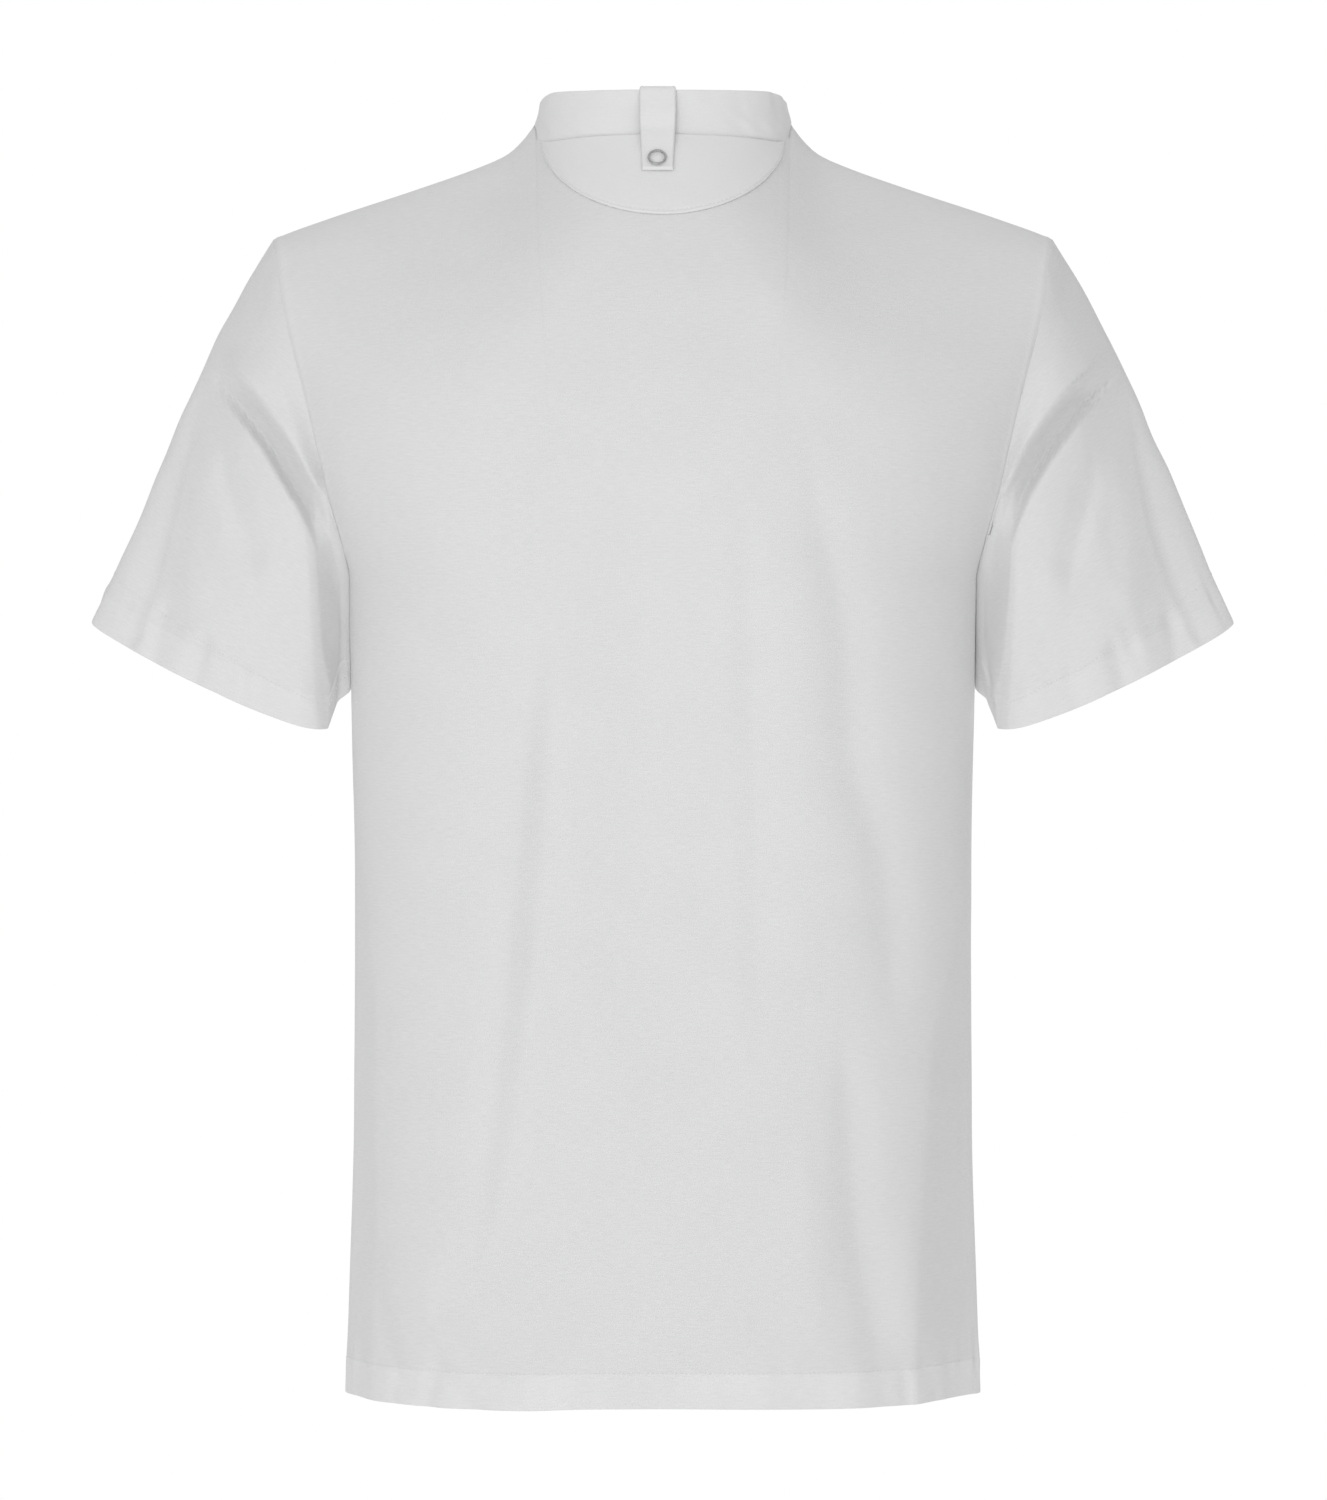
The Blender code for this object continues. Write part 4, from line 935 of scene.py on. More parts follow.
def thread_white():
    """Sewing thread: twisted in a fine slant along the stitch, its colour painted darker in the twist's grooves as
    shade.
    """
    looks = Looks("sewing_thread")
    u, v = looks.surface_place()
    twist = (u * TWIST + v * TWIST).sine()
    # painted shade: the colour is darker where the twist's bump is low
    colour = looks.mix(twist * 0.5 + 0.5, grey(THREAD_WHITE * 0.93), grey(THREAD_WHITE))
    bump = looks.node("ShaderNodeBump", inputs={"Strength": 0.4, "Distance": 0.0001, "Height": twist})
    return looks.finish(Base_Color=colour, Roughness=twist * 0.05 + 0.6, Normal=bump.outputs[0])


def nickel():
    """Satin nickel with a fine turned grain and slightly duller patches."""
    looks = Looks("satin_nickel")
    u, v = looks.surface_place()
    grain = looks.noise(u, v, TURNED_GRAIN)
    dull = looks.noise(u, v, DULL_PATCHES)
    colour = looks.mix(dull, (*NICKEL, 1.0), tuple(c * 0.82 for c in NICKEL) + (1.0,))
    bump = looks.node("ShaderNodeBump", inputs={"Strength": 0.15, "Distance": 0.00005, "Height": grain})
    return looks.finish(Base_Color=colour, Metallic=1.0, Roughness=dull * 0.2 + 0.16, Normal=bump.outputs[0])


# ---------------------------------------------------------------- pieces

def panel_shares():
    """Grid lines across a panel as shares of its half width. The steps are even along the body's oval section, and
    finer at its edge and where the neck seam is steep."""
    turn = np.linspace(0, np.pi / 2, SECTION_SAMPLES)
    share = np.sin(turn) ** (2 / SIDE_ROUNDNESS)
    waist = LEVELS[3]
    section = np.stack([waist.half * share, waist.back * np.cos(turn) ** (2 / SIDE_ROUNDNESS)], axis=-1)
    run = run_along(section, 0)
    lines = merged_lines(np.linspace(0, run[-1], int(run[-1] / PANEL_COLUMN)), edge_lines(run[-1], at_start=False))
    shares = np.interp(lines, run, share)
    steep = np.sin(np.radians(NECK_LINES)) * SEAM_OVAL.half / TIP[0]
    clear = np.min(np.abs(shares[:, None] - steep), axis=1) > NECK_LINE_ROOM
    half = np.unique(np.concatenate([shares[clear], steep]))
    return np.concatenate([-half[:0:-1], half])


def panel_points(side):
    """Points of the back or front: rows from hem to top, columns from the wearer's right to their left."""
    share = panel_shares()
    lower = ARMPIT_Z - HEM_Z
    total = lower + top_line(0.0, side) - ARMPIT_Z
    run = merged_lines(np.linspace(0, total, int(total / PANEL_ROW)), BODY_HEM + np.array(HEM_LINES), [lower],
                       edge_lines(total))
    climb = np.clip((run - lower) / (total - lower), 0, 1)[:, None]
    straight = HEM_Z + np.minimum(run, lower)[:, None]
    x = share * level(straight + (TIP[1] - ARMPIT_Z) * climb, "half")
    z = straight + (top_line(share * TIP[0], side) - ARMPIT_Z) * climb
    wave = smooth(x * side, *np.array(HEM_WAVE).T)
    z = z + wave * ease(1 - (z - HEM_Z) / HEM_WAVE_REACH)
    return np.stack([x, calm_y(x, z, side), z], axis=-1)


def build_panel(name, node, side, folds, material, seed):
    """Back or front of the body: one layer, two in the turned hem, with its folds, hem puckers and stitch line."""
    points = panel_points(side)
    normals = grid_normals(points, points * (0.3, 0.0, 1.0))
    height = run_along(points, 0)
    down = height[-1] - height
    across = run_along(points, 1)
    half = across.shape[1] // 2
    from_middle = across - across[:, half:half + 1]
    to_side = np.minimum(across, across[:, -1:] - across)
    x, z = points[..., 0], points[..., 2]
    free = ease(to_side / FOLD_CLEAR) * ease(down / FOLD_CLEAR_TOP)
    folded = fold_lift(x, z, folds) * free * ease(np.abs(normals[..., 1]) / FACING)
    relief = sum(lattice(from_middle, height, size, seed + 7 * number) * lift
                 for number, (size, lift) in enumerate(SURFACE))
    relief *= (1 - fall(down, *SURFACE_TOP[side])) * ease(to_side / SURFACE_CLEAR)
    outermost = np.abs(from_middle) / from_middle[:, -1:]
    pucker = PUCKER * (PUCKER_MIDDLE + PUCKER_SIDES * outermost ** 2)
    relief += stitch_line(height - BODY_HEM, from_middle, seed + 20, pucker) * ease(to_side / 0.004)
    step, thick = hem_layers(height, BODY_HEM)
    allowance = ALLOWANCE * hill(to_side - ALLOWANCE_AT, ALLOWANCE_WIDTH) * ease((z - ARMPIT_Z) / 0.02)
    outer = points + normals * (relief + step + allowance)[..., None]
    outer[..., 1] += side * kept_inside(folded, FOLD_ROOM * np.abs(points[..., 1]))
    outer, inner = rounded_wall(outer, normals, thick, height, np.minimum(down, to_side))
    piece = add_shell(name, outer, inner, np.stack([from_middle, height], axis=-1), material)
    row = int(np.argmin(np.abs(height[:, half] - BODY_HEM)))
    return enter(piece, node), (outer[row, 3:-3], normals[row, 3:-3])


def armhole_ring(turn):
    """Points of the left armhole, on the side edges of the panels."""
    z = ARMPIT_Z + (TIP[1] - ARMPIT_Z) * (1 + np.cos(turn)) / 2
    x = level(z, "half")
    y = np.where(np.sin(turn) >= 0, reach(x, z, BACK), -reach(x, z, FRONT))
    return np.stack([x, y, z], axis=-1)


def cuff_ring(turn):
    """The left cuff: an oval, squarer beside the body, whose back hangs lower, and lowest towards the body."""
    square = 1 - CUFF_SQUARE * ease(-np.cos(turn) / CUFF_SQUARE_SHARE)
    share = (1 + np.sign(np.cos(turn)) * np.abs(np.cos(turn)) ** square) / 2
    bulge = np.sign(np.sin(turn)) * np.abs(np.sin(turn)) ** square
    x = CUFF_INNER[0] + (CUFF_OUTER[0] - CUFF_INNER[0]) * share
    z = CUFF_INNER[1] + (CUFF_OUTER[1] - CUFF_INNER[1]) * share
    skew = np.where(np.cos(turn) > 0, CUFF_SKEW[0], CUFF_SKEW[1]) * (np.sin(turn) > 0)
    z = z - CUFF_PITCH * np.sin(turn) + skew * np.sin(2 * turn)
    z = z + CUFF_CORNER * np.clip(1 - share / CUFF_CORNER_SHARE, 0, 1)
    return np.stack([x, CUFF_FORWARD + CUFF_DEPTH * bulge, z], axis=-1)


def flattened_flank(points, foot_share):
    """The sleeve beside the body: its flank is flat from a crest to the body, and its inner wall lies on the body.

    From the crest the flank's depth y falls to its foot at the body as a power of the share of the way, with a small
    rounding at the crest: y = foot + (crest - foot) * share^n. foot_share scales the table's foot. What is then near
    the body's oval section is moved in x onto it.
    """
    x, y, z = points[..., 0], points[..., 1], points[..., 2]
    knots = column(FLANK, "z")
    crest_x, crest_y = smooth(z, knots, column(FLANK, "x")), smooth(z, knots, column(FLANK, "y"))
    half = level(z, "half")
    foot_y = smooth(z, knots, column(FLANK, "foot")) * foot_share
    depth = np.abs(y)
    out_share = np.clip((x - half) / np.maximum(crest_x - half, FLANK_LEAST), 0, None)
    over = depth - foot_y - (crest_y - foot_y) * out_share ** FLANK_CURVE
    pressed = 0.5 * (over + np.sqrt(over * over + FLANK_ROUND ** 2)) - 0.5 * FLANK_ROUND
    share = ease(run_along(points, 0) / FLANK_HEAD) * fall(np.abs(x - crest_x), *FLANK_NEAR) * fall(z, *FLANK_TOP)
    depth = depth - np.clip(pressed, 0, None) * share
    room = x - np.where(y > 0, side_x(depth, z, BACK), side_x(depth, z, FRONT))
    lying = fall(depth - foot_y, *BODY_PULL) * fall(room, *FLANK_REACH) * fall(z, *LYING_TOP)
    return np.stack([x - room * lying, np.sign(y) * depth, z], axis=-1), lying


def build_sleeve(name, node, hand, folds, material, seed):
    """One sleeve: a tube from armhole to cuff. Each line along it is a cubic that leaves the armhole leaning out and
    puffed, and its folds are placed over the outline seen from behind."""
    turn = np.linspace(0, 2 * np.pi, SLEEVE_AROUND, endpoint=False)
    start = armhole_ring(turn)
    chord = cuff_ring(turn) - start
    lean = np.clip(np.cos(turn), 0, 1)[:, None] * HEAD_LEAN
    puff = np.stack([0 * turn, SLEEVE_PUFF * np.sin(turn), 0 * turn], axis=-1)
    length = float(np.linalg.norm(chord, axis=-1).mean())
    hem = length - SLEEVE_HEM
    run = merged_lines(np.linspace(0, length, int(length / SLEEVE_ROW)), hem + np.array(HEM_LINES), edge_lines(length))
    s = (run / length)[:, None, None]
    points = start + chord * s + (lean + puff) * s * (1 - s) ** 2
    points, lying = flattened_flank(points, FLANK_FOOT[hand])
    normals = grid_normals(points, points.mean(axis=1, keepdims=True), wraps=True)
    along = run_along(points, 0)
    up = along[-1] - along
    closed = np.concatenate([points, points[:, :1]], axis=1)
    around = run_along(closed, 1)
    girth = around[:, :-1]
    x, z = points[..., 0] * hand, points[..., 2]
    behind = SLEEVE_FRONT_FOLDS + (1 - SLEEVE_FRONT_FOLDS) * ease(0.5 + np.sin(turn) / FRONT_BLEND)
    facing = ease(np.abs(normals[..., 1]) / FACING)
    folded = fold_lift(x, z, folds) * ease(along / SLEEVE_FOLD_CLEAR) * behind * facing
    whole = around[:, -1:]
    lap = 2 * np.pi * girth / whole
    soft = lattice(np.cos(lap) * 0.05, along, 0.030, seed) + lattice(np.sin(lap) * 0.05, along, 0.022, seed + 3)
    relief = soft * SLEEVE_SURFACE * ease(along / 0.04)
    off_seam = ease(np.minimum(girth, whole - girth) / 0.01)
    relief += stitch_line(up - SLEEVE_HEM, girth, seed + 20, CUFF_PUCKER) * off_seam
    step, thick = hem_layers(up, SLEEVE_HEM)
    gathers = np.sin(np.linspace(0, 2 * np.pi * GATHERS, SLEEVE_AROUND)) * np.clip(np.cos(turn), 0, 1)
    relief += step + gathers * GATHER_HEIGHT * np.exp(-along / GATHER_REACH)
    outer = points + normals * (relief * (1 - lying))[..., None]
    room = FOLD_ROOM * np.abs(points[..., 1] - points[..., 1].mean(axis=1, keepdims=True))
    outer[..., 1] += np.sign(normals[..., 1]) * kept_inside(folded, room) * (1 - lying)
    outer, inner = rounded_wall(outer, normals, thick, up, along)
    mirror = np.array([hand, 1, 1])
    height = np.concatenate([up, up[:, :1]], axis=1)
    piece = add_shell(name, outer * mirror, inner * mirror, np.stack([around, height], axis=-1), material, wraps=True)
    row = int(np.argmin(np.abs(run - hem)))
    line = np.concatenate([outer[row], outer[row, :1]]) * mirror
    out = np.concatenate([normals[row], normals[row, :1]]) * mirror
    return enter(piece, node), (line, out)


def collar_surface(angle, climb, out=0.0):
    """Points of the collar's outer face from the neck seam (climb 0) to its top (climb 1), moved out."""
    seam = on_oval(angle, SEAM_OVAL, neck(angle, "seam"))
    top = on_oval(angle, TOP_OVAL, neck(angle, "top"))
    turn = np.radians(angle)
    level_out = np.stack([np.sin(turn), np.cos(turn), 0 * turn], axis=-1)
    return seam + (top - seam) * climb + level_out * out


def build_collar(material):
    """Stand collar: a band of two layers round the neck with rounded front corners and a softly uneven surface."""
    near_end = COLLAR_END_ANGLE - np.array(COLLAR_END_LINES)
    angle = np.unique(np.concatenate([np.linspace(-COLLAR_END_ANGLE, COLLAR_END_ANGLE, COLLAR_GRID[1]),
                                      near_end, -near_end]))
    tall = neck(0.0, "top") - neck(0.0, "seam")
    rows = merged_lines(np.linspace(0, tall, COLLAR_GRID[0]), edge_lines(tall)) / tall
    points = np.stack([collar_surface(angle, climb) for climb in rows])
    corner = ease((np.abs(angle) - COLLAR_CORNER_ANGLE) / (COLLAR_END_ANGLE - COLLAR_CORNER_ANGLE))
    points[..., 2] -= COLLAR_END_DROP * corner ** 2 * rows[:, None] ** 2
    normals = grid_normals(points, points * (0.0, 0.0, 1.0))
    height = run_along(points, 0)
    across = run_along(points, 1)
    down = height[-1] - height
    to_end = np.minimum(across, across[:, -1:] - across)
    creased = 1 - fall(-points[..., 0], *COLLAR_CREASE_X)
    relief = uneven_relief(across, height, COLLAR_UNEVEN) + uneven_relief(across, height * 0.4, COLLAR_WAVE)
    relief += uneven_relief(across, height, COLLAR_FINE) * (1 + creased * COLLAR_CREASE / COLLAR_FINE.height)
    dip = COLLAR_DIP * hill(height, 0.0022) * fall(np.abs(angle), *COLLAR_DIP_ANGLES)
    relief = relief * ease(height / 0.003) - dip
    outer = points + normals * relief[..., None]
    outer, inner = rounded_wall(outer, normals, BAND, np.minimum(down, to_end), height)
    piece = add_shell("collar_band", outer, inner, np.stack([across, height + BAND_V], axis=-1), material)
    return enter(piece, "collar")


def build_patch(material, thread):
    """Half-moon on the back neck: straight under the collar, oval below, with a turned edge and edge stitching."""
    turn = np.radians(np.linspace(-PATCH_END_ANGLE, PATCH_END_ANGLE, PATCH_GRID[1]))
    x = PATCH_HALF * np.sin(turn)
    low = PATCH_END_Z + (PATCH_LOW_Z - PATCH_END_Z) * np.cos(turn)
    high = top_line(x, BACK) - LAID
    up = merged_lines(np.linspace(0, PATCH_TALL, PATCH_GRID[0]), PATCH_STITCH + np.array(STITCH_LINES),
                      edge_lines(PATCH_TALL))
    z = low + (high - low) * (up / PATCH_TALL)[:, None]
    x = x + 0 * z
    base = on_cloth(x, z, BACK, LAID)
    out = unit(on_cloth(x, z, BACK, LAID + NORMAL_STEP) - base)
    height = run_along(base, 0)
    across = run_along(base, 1)
    to_side = np.minimum(across, across[:, -1:] - across)
    edge = np.minimum(np.minimum(height, height[-1] - height + TOP_ROOM), to_side)
    lines = line_relief(height, PATCH_RIM) + line_relief(height, PATCH_DIP)
    pucker = uneven_relief(across, 0 * across, PATCH_PUCKERS) * np.exp(-height / PATCH_PUCKER_REACH)
    soft = uneven_relief(across, height, PATCH_UNEVEN) * ease(edge / 0.004)
    thick = (CLOTH + lines + pucker + soft) * rounding(edge, 0.0009)
    uv = np.stack([across, height + BAND_V], axis=-1)
    piece, outer = add_laid("half_moon", "neck_half_moon", base, out, thick, uv, material)
    row = int(np.argmin(np.abs(up - PATCH_STITCH)))
    stitches = add_thread("half_moon_stitches", [(outer[row, 5:-5], out[row, 5:-5])], thread)
    return piece, enter(stitches)


def tab_path(x):
    """y and z of the tab's inner face at x: up over the half-moon and the collar, over its top edge and inside."""
    angle = np.degrees(np.arcsin(x / SEAM_OVAL.half))
    rows = [on_cloth(x, 0 * x + z, BACK, CLOTH + 3 * LAID) for z in TAB_BACK_Z]
    seam, top = neck(angle, "seam"), neck(angle, "top")
    for z in TAB_COLLAR_Z:
        rows.append(collar_surface(angle, ((z - seam) / (top - seam))[:, None], 2 * LAID))
    crown = collar_surface(angle, np.ones((len(x), 1)), -BAND / 2)
    radius = BAND / 2 + 2 * LAID
    for turn in np.radians(TAB_CROWN_TURNS):
        inside = 0.0006 * ease((turn - np.pi / 2) / 0.6)
        rows.append(crown + np.array([0, radius * np.cos(turn) - inside, radius * (np.sin(turn) - 1.15)]))
    for z in TAB_INSIDE_Z:
        rows.append(collar_surface(angle, ((z - seam) / (top - seam))[:, None], -BAND - 0.0011))
    path = np.stack(rows)
    path[..., 0] = x
    return path


def build_tab(material, metal):
    """Neck tab: a strip of two layers, wider at the top, with its ring stud pressed in near the square end."""
    columns = np.linspace(-TAB_HALF_TOP, TAB_HALF_TOP, TAB_KNOTS)
    knots = tab_path(columns + TAB_X)
    run = run_along(knots[:, TAB_KNOTS // 2], 0)
    lines = merged_lines(np.linspace(0, run[-1], TAB_GRID[0]), edge_lines(run[-1]))
    wide = 2 * TAB_HALF_TOP
    across = merged_lines(np.linspace(0, wide, TAB_GRID[1]), edge_lines(wide)) - TAB_HALF_TOP
    spread = np.stack([np.stack([smooth(across, columns, knots[r, :, k]) for k in range(3)], axis=-1)
                       for r in range(len(knots))])
    base = np.stack([smooth(lines, run, spread[:, c, k]) for c in range(len(across)) for k in (1, 2)], axis=0)
    base = base.reshape(len(across), 2, len(lines)).transpose(2, 0, 1)
    half = TAB_HALF_END + (TAB_HALF_TOP - TAB_HALF_END) * ease(lines / TAB_TAPER)
    x = TAB_X + across * (half / TAB_HALF_TOP)[:, None]
    base = np.concatenate([x[..., None], base], axis=-1)
    slope = np.gradient(base, axis=0)
    out = unit(np.stack([0 * slope[..., 0], slope[..., 2], -slope[..., 1]], axis=-1))
    middle = len(across) // 2
    outside = lines < run[-1] / 2
    stud = int(np.argmin(np.where(outside, np.abs(base[:, middle, 2] - TAB_STUD_Z), 1.0)))
    from_stud = np.hypot(across[None, :] * (half / TAB_HALF_TOP)[:, None], (lines - lines[stud])[:, None])
    to_side = (TAB_HALF_TOP - np.abs(across))[None, :] * np.ones((len(lines), 1))
    to_end = np.minimum(lines, run[-1] - lines)[:, None]
    edge = np.minimum(to_side, to_end)
    u, v = across[None, :] + 0 * to_side, lines[:, None] + 0 * to_side
    lift = TAB_STAND_OFF * (1 - fall(v, *TAB_RISES)) * fall(v, *TAB_SETTLES)
    lift = lift * (TAB_HOLLOW + (1 - TAB_HOLLOW) * (u / TAB_HALF_TOP) ** 2)
    base = base + out * lift[..., None]
    relief = line_relief(edge, TAB_RIM) + stud_dent(from_stud) + uneven_relief(u, v, TAB_UNEVEN)
    thick = (BAND * 0.9 + relief) * rounding(edge, 0.0011)
    piece, outer = add_laid("tab", "neck_tab", base, out, thick, np.stack([u, v + BAND_V], axis=-1), material)
    add_stud("tab_ring", "tab_stud", outer[stud, middle], out[stud, middle], metal)
    return piece


def add_stud(name, node, seat, out, metal):
    """Open-ring press stud: a ring whose section is a flattened oval, with a fine groove round its inner lip and three
    small notches in its hole."""
    side = unit(np.cross(out, [0.0, 0.0, 1.0]))
    up = np.cross(side, out)
    seat = seat + out * STUD_SEAT
    turn = np.linspace(0, 2 * np.pi, STUD_GRID[0], endpoint=False)[:, None]
    lap = np.linspace(0, 2 * np.pi, STUD_GRID[1], endpoint=False)[None, :]
    middle, half = (STUD_RADIUS + STUD_HOLE) / 2, (STUD_RADIUS - STUD_HOLE) / 2
    bevel = np.sign(np.cos(lap)) * np.abs(np.cos(lap)) ** 0.7
    radius = middle + half * bevel + 0 * turn
    height = STUD_THICK * (0.40 + 0.5 * np.sign(np.sin(lap)) * np.abs(np.sin(lap)) ** 0.8)
    height = height - 0.00012 * hill(radius - middle + half * 0.35, 0.00018) * (np.sin(lap) > 0)
    notch = 0.00022 * hill(np.sin(turn * 3 + 0.5), 0.12) * (np.cos(lap) < 0.2)
    radius = radius + notch
    around = side * np.cos(turn)[..., None] + up * np.sin(turn)[..., None]
    points = seat + around * radius[..., None] + out * height[..., None]
    rows, cols = points.shape[:2]
    index = np.arange(rows * cols).reshape(rows, cols)
    after, beside = np.roll(index, -1, axis=0), np.roll(index, -1, axis=1)
    faces = np.stack([index, beside, np.roll(after, -1, axis=1), after], axis=-1).reshape(-1, 4)
    u = (turn * middle + 0 * lap)[..., None]
    v = (lap * half + 0 * turn)[..., None]
    uv = np.concatenate([u, v], axis=-1).reshape(-1, 2)[faces.reshape(-1)]
    quad = points.reshape(-1, 3)[faces]
    outward = np.cross(quad[:, 1] - quad[:, 0], quad[:, 3] - quad[:, 0])
    centre = seat + around * middle + out * STUD_THICK * 0.4
    away = quad[:, 0] - np.repeat(centre.reshape(-1, 3), cols, axis=0)
    if np.sum(outward * away) < 0:
        faces = faces[:, ::-1]
        uv = uv.reshape(-1, 4, 2)[:, ::-1].reshape(-1, 2)
    return enter(add_mesh(name, points.reshape(-1, 3), faces, uv, metal), node)


def build_placket(material, thread, metal):
    """Placket: a strip of two layers from the neck seam down, stitched along both edges and boxed at its end."""
    high = top_line(0.0, FRONT) - 2 * LAID
    tall = high - PLACKET_END_Z
    wide = 2 * PLACKET_HALF
    near = np.array(STITCH_LINES)
    up = merged_lines(np.linspace(0, tall, PLACKET_GRID[0]), PLACKET_STITCH + near, edge_lines(tall))
    across = merged_lines(np.linspace(0, wide, PLACKET_GRID[1]), PLACKET_STITCH + near, wide - PLACKET_STITCH + near,
                          edge_lines(wide))
    x, z = np.meshgrid(across - PLACKET_HALF, PLACKET_END_Z + up)
    z = PLACKET_END_Z + (z - PLACKET_END_Z) * (top_line(x, FRONT) - 2 * LAID - PLACKET_END_Z) / tall
    base = on_cloth(x, z, FRONT, LAID)
    out = unit(on_cloth(x, z, FRONT, LAID + NORMAL_STEP) - base)
    from_end = up[:, None] + 0 * x
    to_side = np.minimum(across, wide - across)[None, :] + 0 * x
    edge = np.minimum(np.minimum(to_side, from_end), tall - from_end + TOP_ROOM)
    frame_line = np.minimum(to_side, from_end)
    relief = line_relief(frame_line, PLACKET_RIM) + line_relief(frame_line, PLACKET_DIP)
    relief += uneven_relief(x, z, PLACKET_PUCKERS) * np.exp(-np.abs(frame_line - PLACKET_STITCH) / PLACKET_PUCKER_REACH)
    relief += sum(stud_dent(np.hypot(x, z - stud_z)) for stud_z in PLACKET_STUDS_Z)
    thick = (BAND * 0.8 + relief) * rounding(edge, 0.0010)
    uv = np.stack([x, from_end + BAND_V], axis=-1)
    piece, outer = add_laid("placket", "front_placket", base, out, thick, uv, material)
    left = int(np.argmin(np.abs(across - PLACKET_STITCH)))
    right = int(np.argmin(np.abs(across - (wide - PLACKET_STITCH))))
    low = int(np.argmin(np.abs(up - PLACKET_STITCH)))
    lines = [(outer[low:-4, left], out[low:-4, left]), (outer[low:-4, right], out[low:-4, right]),
             (outer[low, left:right + 1], out[low, left:right + 1])]
    stitches = enter(add_thread("placket_stitches", lines, thread))
    middle = len(across) // 2
    for number, stud_z in enumerate(PLACKET_STUDS_Z, start=1):
        row = int(np.argmin(np.abs(z[:, middle] - stud_z)))
        add_stud(f"placket_ring_{number}", f"placket_stud_{number}", outer[row, middle], out[row, middle], metal)
    return piece, stitches


# ---------------------------------------------------------------- studio

def add_light(name, place):
    """A square soft light that faces the shirt."""
    lamp = bpy.data.lights.new(name, "AREA")
    lamp.shape = "SQUARE"
    lamp.size = KEY_SIZE
    lamp.energy = KEY_POWER
    made = bpy.data.objects.new(name, lamp)
    bpy.context.scene.collection.objects.link(made)
    made.location = place
    aim = np.array([0.0, 0.0, KEY_TARGET_Z]) - place
    made.rotation_euler = (np.arctan2(np.hypot(aim[0], aim[1]), -aim[2]), 0, np.arctan2(-aim[0], aim[1]))


def build_world():
    """A white tent, dimmer at its ceiling and at both sides of the shirt. The camera sees it as plain white."""
    world = bpy.data.worlds.new("studio")
    world.use_nodes = True
    tree = world.node_tree

    def between(value, low, high, first, last):
        made = tree.nodes.new("ShaderNodeMapRange")
        made.interpolation_type = "SMOOTHSTEP"
        for name, setting in zip(("From Min", "From Max", "To Min", "To Max"), (low, high, first, last)):
            if isinstance(setting, bpy.types.NodeSocket):
                tree.links.new(setting, made.inputs[name])
            else:
                made.inputs[name].default_value = setting
        tree.links.new(value, made.inputs["Value"])
        return made.outputs["Result"]

    tent = tree.nodes["Background"]
    tent.inputs["Color"].default_value = (1.0, 1.0, 1.0, 1.0)
    direction = tree.nodes.new("ShaderNodeTexCoord")
    parts = tree.nodes.new("ShaderNodeSeparateXYZ")
    tree.links.new(direction.outputs["Generated"], parts.inputs[0])
    facing = tree.nodes.new("ShaderNodeMath")
    facing.operation = "ABSOLUTE"
    tree.links.new(parts.outputs[1], facing.inputs[0])
    strength = tree.nodes.new("ShaderNodeMix")
    tree.links.new(between(parts.outputs[2], 0.0, TENT_CEILING, 0.0, 1.0), strength.inputs[0])
    sides = between(parts.outputs[0], -1.0, 1.0, RIGHT_LIGHT, LEFT_LIGHT)
    tree.links.new(between(facing.outputs[0], *TENT_SIDES, sides, WALL_LIGHT), strength.inputs[2])
    strength.inputs[3].default_value = CEILING_LIGHT
    tree.links.new(strength.outputs[0], tent.inputs["Strength"])
    seen = tree.nodes.new("ShaderNodeBackground")
    seen.inputs["Color"].default_value = (1.0, 1.0, 1.0, 1.0)
    path = tree.nodes.new("ShaderNodeLightPath")
    mix = tree.nodes.new("ShaderNodeMixShader")
    tree.links.new(path.outputs["Is Camera Ray"], mix.inputs[0])
    tree.links.new(tent.outputs[0], mix.inputs[1])
    tree.links.new(seen.outputs[0], mix.inputs[2])
    tree.links.new(mix.outputs[0], tree.nodes["World Output"].inputs["Surface"])
    bpy.context.scene.world = world


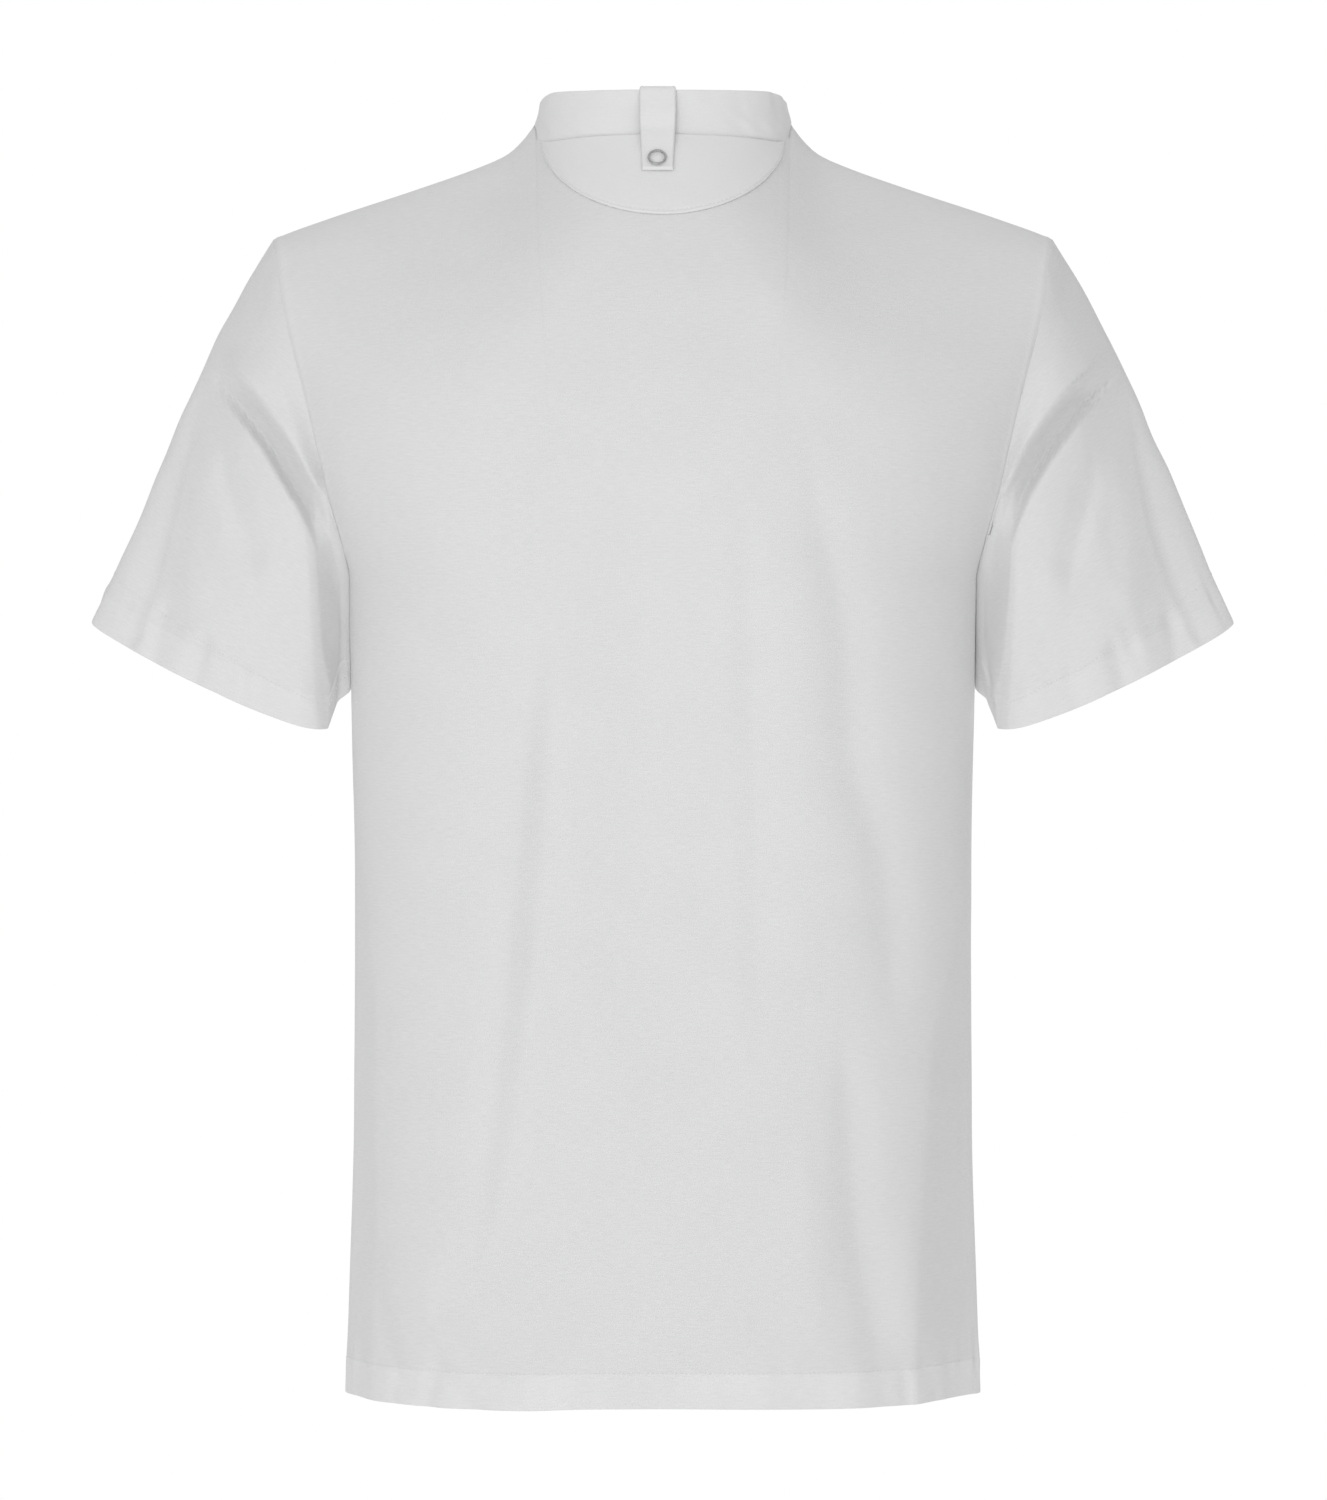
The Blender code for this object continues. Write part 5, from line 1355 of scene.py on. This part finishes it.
def build_floor():
    """A pale round floor well below the hem, which fades into the white round it."""
    looks = Looks("pale_floor")
    place = looks.node("ShaderNodeTexCoord").outputs["Object"]
    far = Value(looks, looks.node("ShaderNodeVectorMath", {"operation": "LENGTH"}, {0: place}).outputs["Value"])
    grain = looks.node("ShaderNodeTexNoise", inputs={"Vector": place, "Scale": 40.0})
    colour = looks.mix(grain.outputs[0], grey(0.90), grey(0.93))
    looks.finish(Base_Color=colour, Roughness=0.7)
    glow = looks.node("ShaderNodeEmission", inputs={"Color": (1.0, 1.0, 1.0, 1.0), "Strength": 1.0})
    fade = ((far - FLOOR_FADE[0]) * (1 / (FLOOR_FADE[1] - FLOOR_FADE[0]))).held()
    mix = looks.node("ShaderNodeMixShader", inputs={0: fade, 1: looks.shader.outputs[0], 2: glow.outputs[0]})
    output = looks.tree.nodes["Material Output"]
    looks.put(output.inputs["Surface"], mix.outputs[0])
    rings, sides = FLOOR_GRID
    turn = np.linspace(0, 2 * np.pi, sides, endpoint=False)
    radius = np.linspace(0.02, FLOOR_RADIUS, rings)
    discs = np.stack([np.outer(radius, np.cos(turn)), np.outer(radius, np.sin(turn)), np.full(FLOOR_GRID, FLOOR_Z)],
                     axis=-1)
    points = np.concatenate([discs.reshape(-1, 3), [[0.0, 0.0, FLOOR_Z]]])
    index = np.arange(rings * sides).reshape(FLOOR_GRID)
    after = np.roll(index, -1, axis=1)
    faces = np.stack([index[:-1], index[1:], after[1:], after[:-1]], axis=-1).reshape(-1, 4).tolist()
    faces += [(int(a), int(b), len(points) - 1) for a, b in zip(index[0], after[0])]
    mesh = bpy.data.meshes.new("floor")
    mesh.from_pydata(points.tolist(), [], faces)
    mesh.materials.append(looks.material)
    floor = bpy.data.objects.new("floor", mesh)
    bpy.context.scene.collection.objects.link(floor)


def build_camera():
    """The camera looks level at the wearer's back."""
    lens = bpy.data.cameras.new("camera")
    lens.sensor_width = SENSOR
    lens.lens = SENSOR * CAMERA_DISTANCE / FRAME_HEIGHT
    lens.clip_end = 50.0
    camera = bpy.data.objects.new("camera", lens)
    camera.location = (CAMERA_X, CAMERA_DISTANCE, CAMERA_Z)
    camera.rotation_euler = (np.pi / 2, 0.0, np.pi)
    bpy.context.scene.collection.objects.link(camera)
    bpy.context.scene.camera = camera


def build_studio():
    """Tent, floor, camera and two large key lights, one for each side of the shirt."""
    build_world()
    build_floor()
    build_camera()
    add_light("key", (KEY_PLACE[0], KEY_PLACE[1], KEY_PLACE[2]))
    add_light("front_key", (-KEY_PLACE[0], -KEY_PLACE[1], KEY_PLACE[2]))
    bpy.context.scene.view_settings.view_transform = "Standard"


def main():
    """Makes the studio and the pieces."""
    build_studio()
    body_cloth = pique("pique_body", CLOTH_WHITE, DOUBLE_WHITE, BODY_HEM)
    sleeve_cloth = pique("pique_sleeve", CLOTH_WHITE, CUFF_WHITE, SLEEVE_HEM)
    band_cloth = pique("pique_band", DOUBLE_WHITE, DOUBLE_WHITE, 0.0, slubs=0.4)
    thread = thread_white()
    metal = nickel()

    back, back_line = build_panel("back", "back_panel", BACK, BACK_FOLDS, body_cloth, 101)
    front, front_line = build_panel("front", "front_panel", FRONT, FRONT_FOLDS, body_cloth, 151)
    left, left_line = build_sleeve("left_sleeve", "sleeve_left", LEFT, SLEEVE_LEFT_FOLDS, sleeve_cloth, 201)
    right, right_line = build_sleeve("right_sleeve", "sleeve_right", RIGHT, SLEEVE_RIGHT_FOLDS, sleeve_cloth, 251)
    collar = build_collar(band_cloth)
    patch, patch_stitches = build_patch(band_cloth, thread)
    tab = build_tab(band_cloth, metal)
    placket, placket_stitches = build_placket(band_cloth, thread, metal)
    for name, line in (("back", back_line), ("front", front_line), ("left", left_line), ("right", right_line)):
        enter(add_thread(f"hem_stitches_{name}", [line], thread))


main()
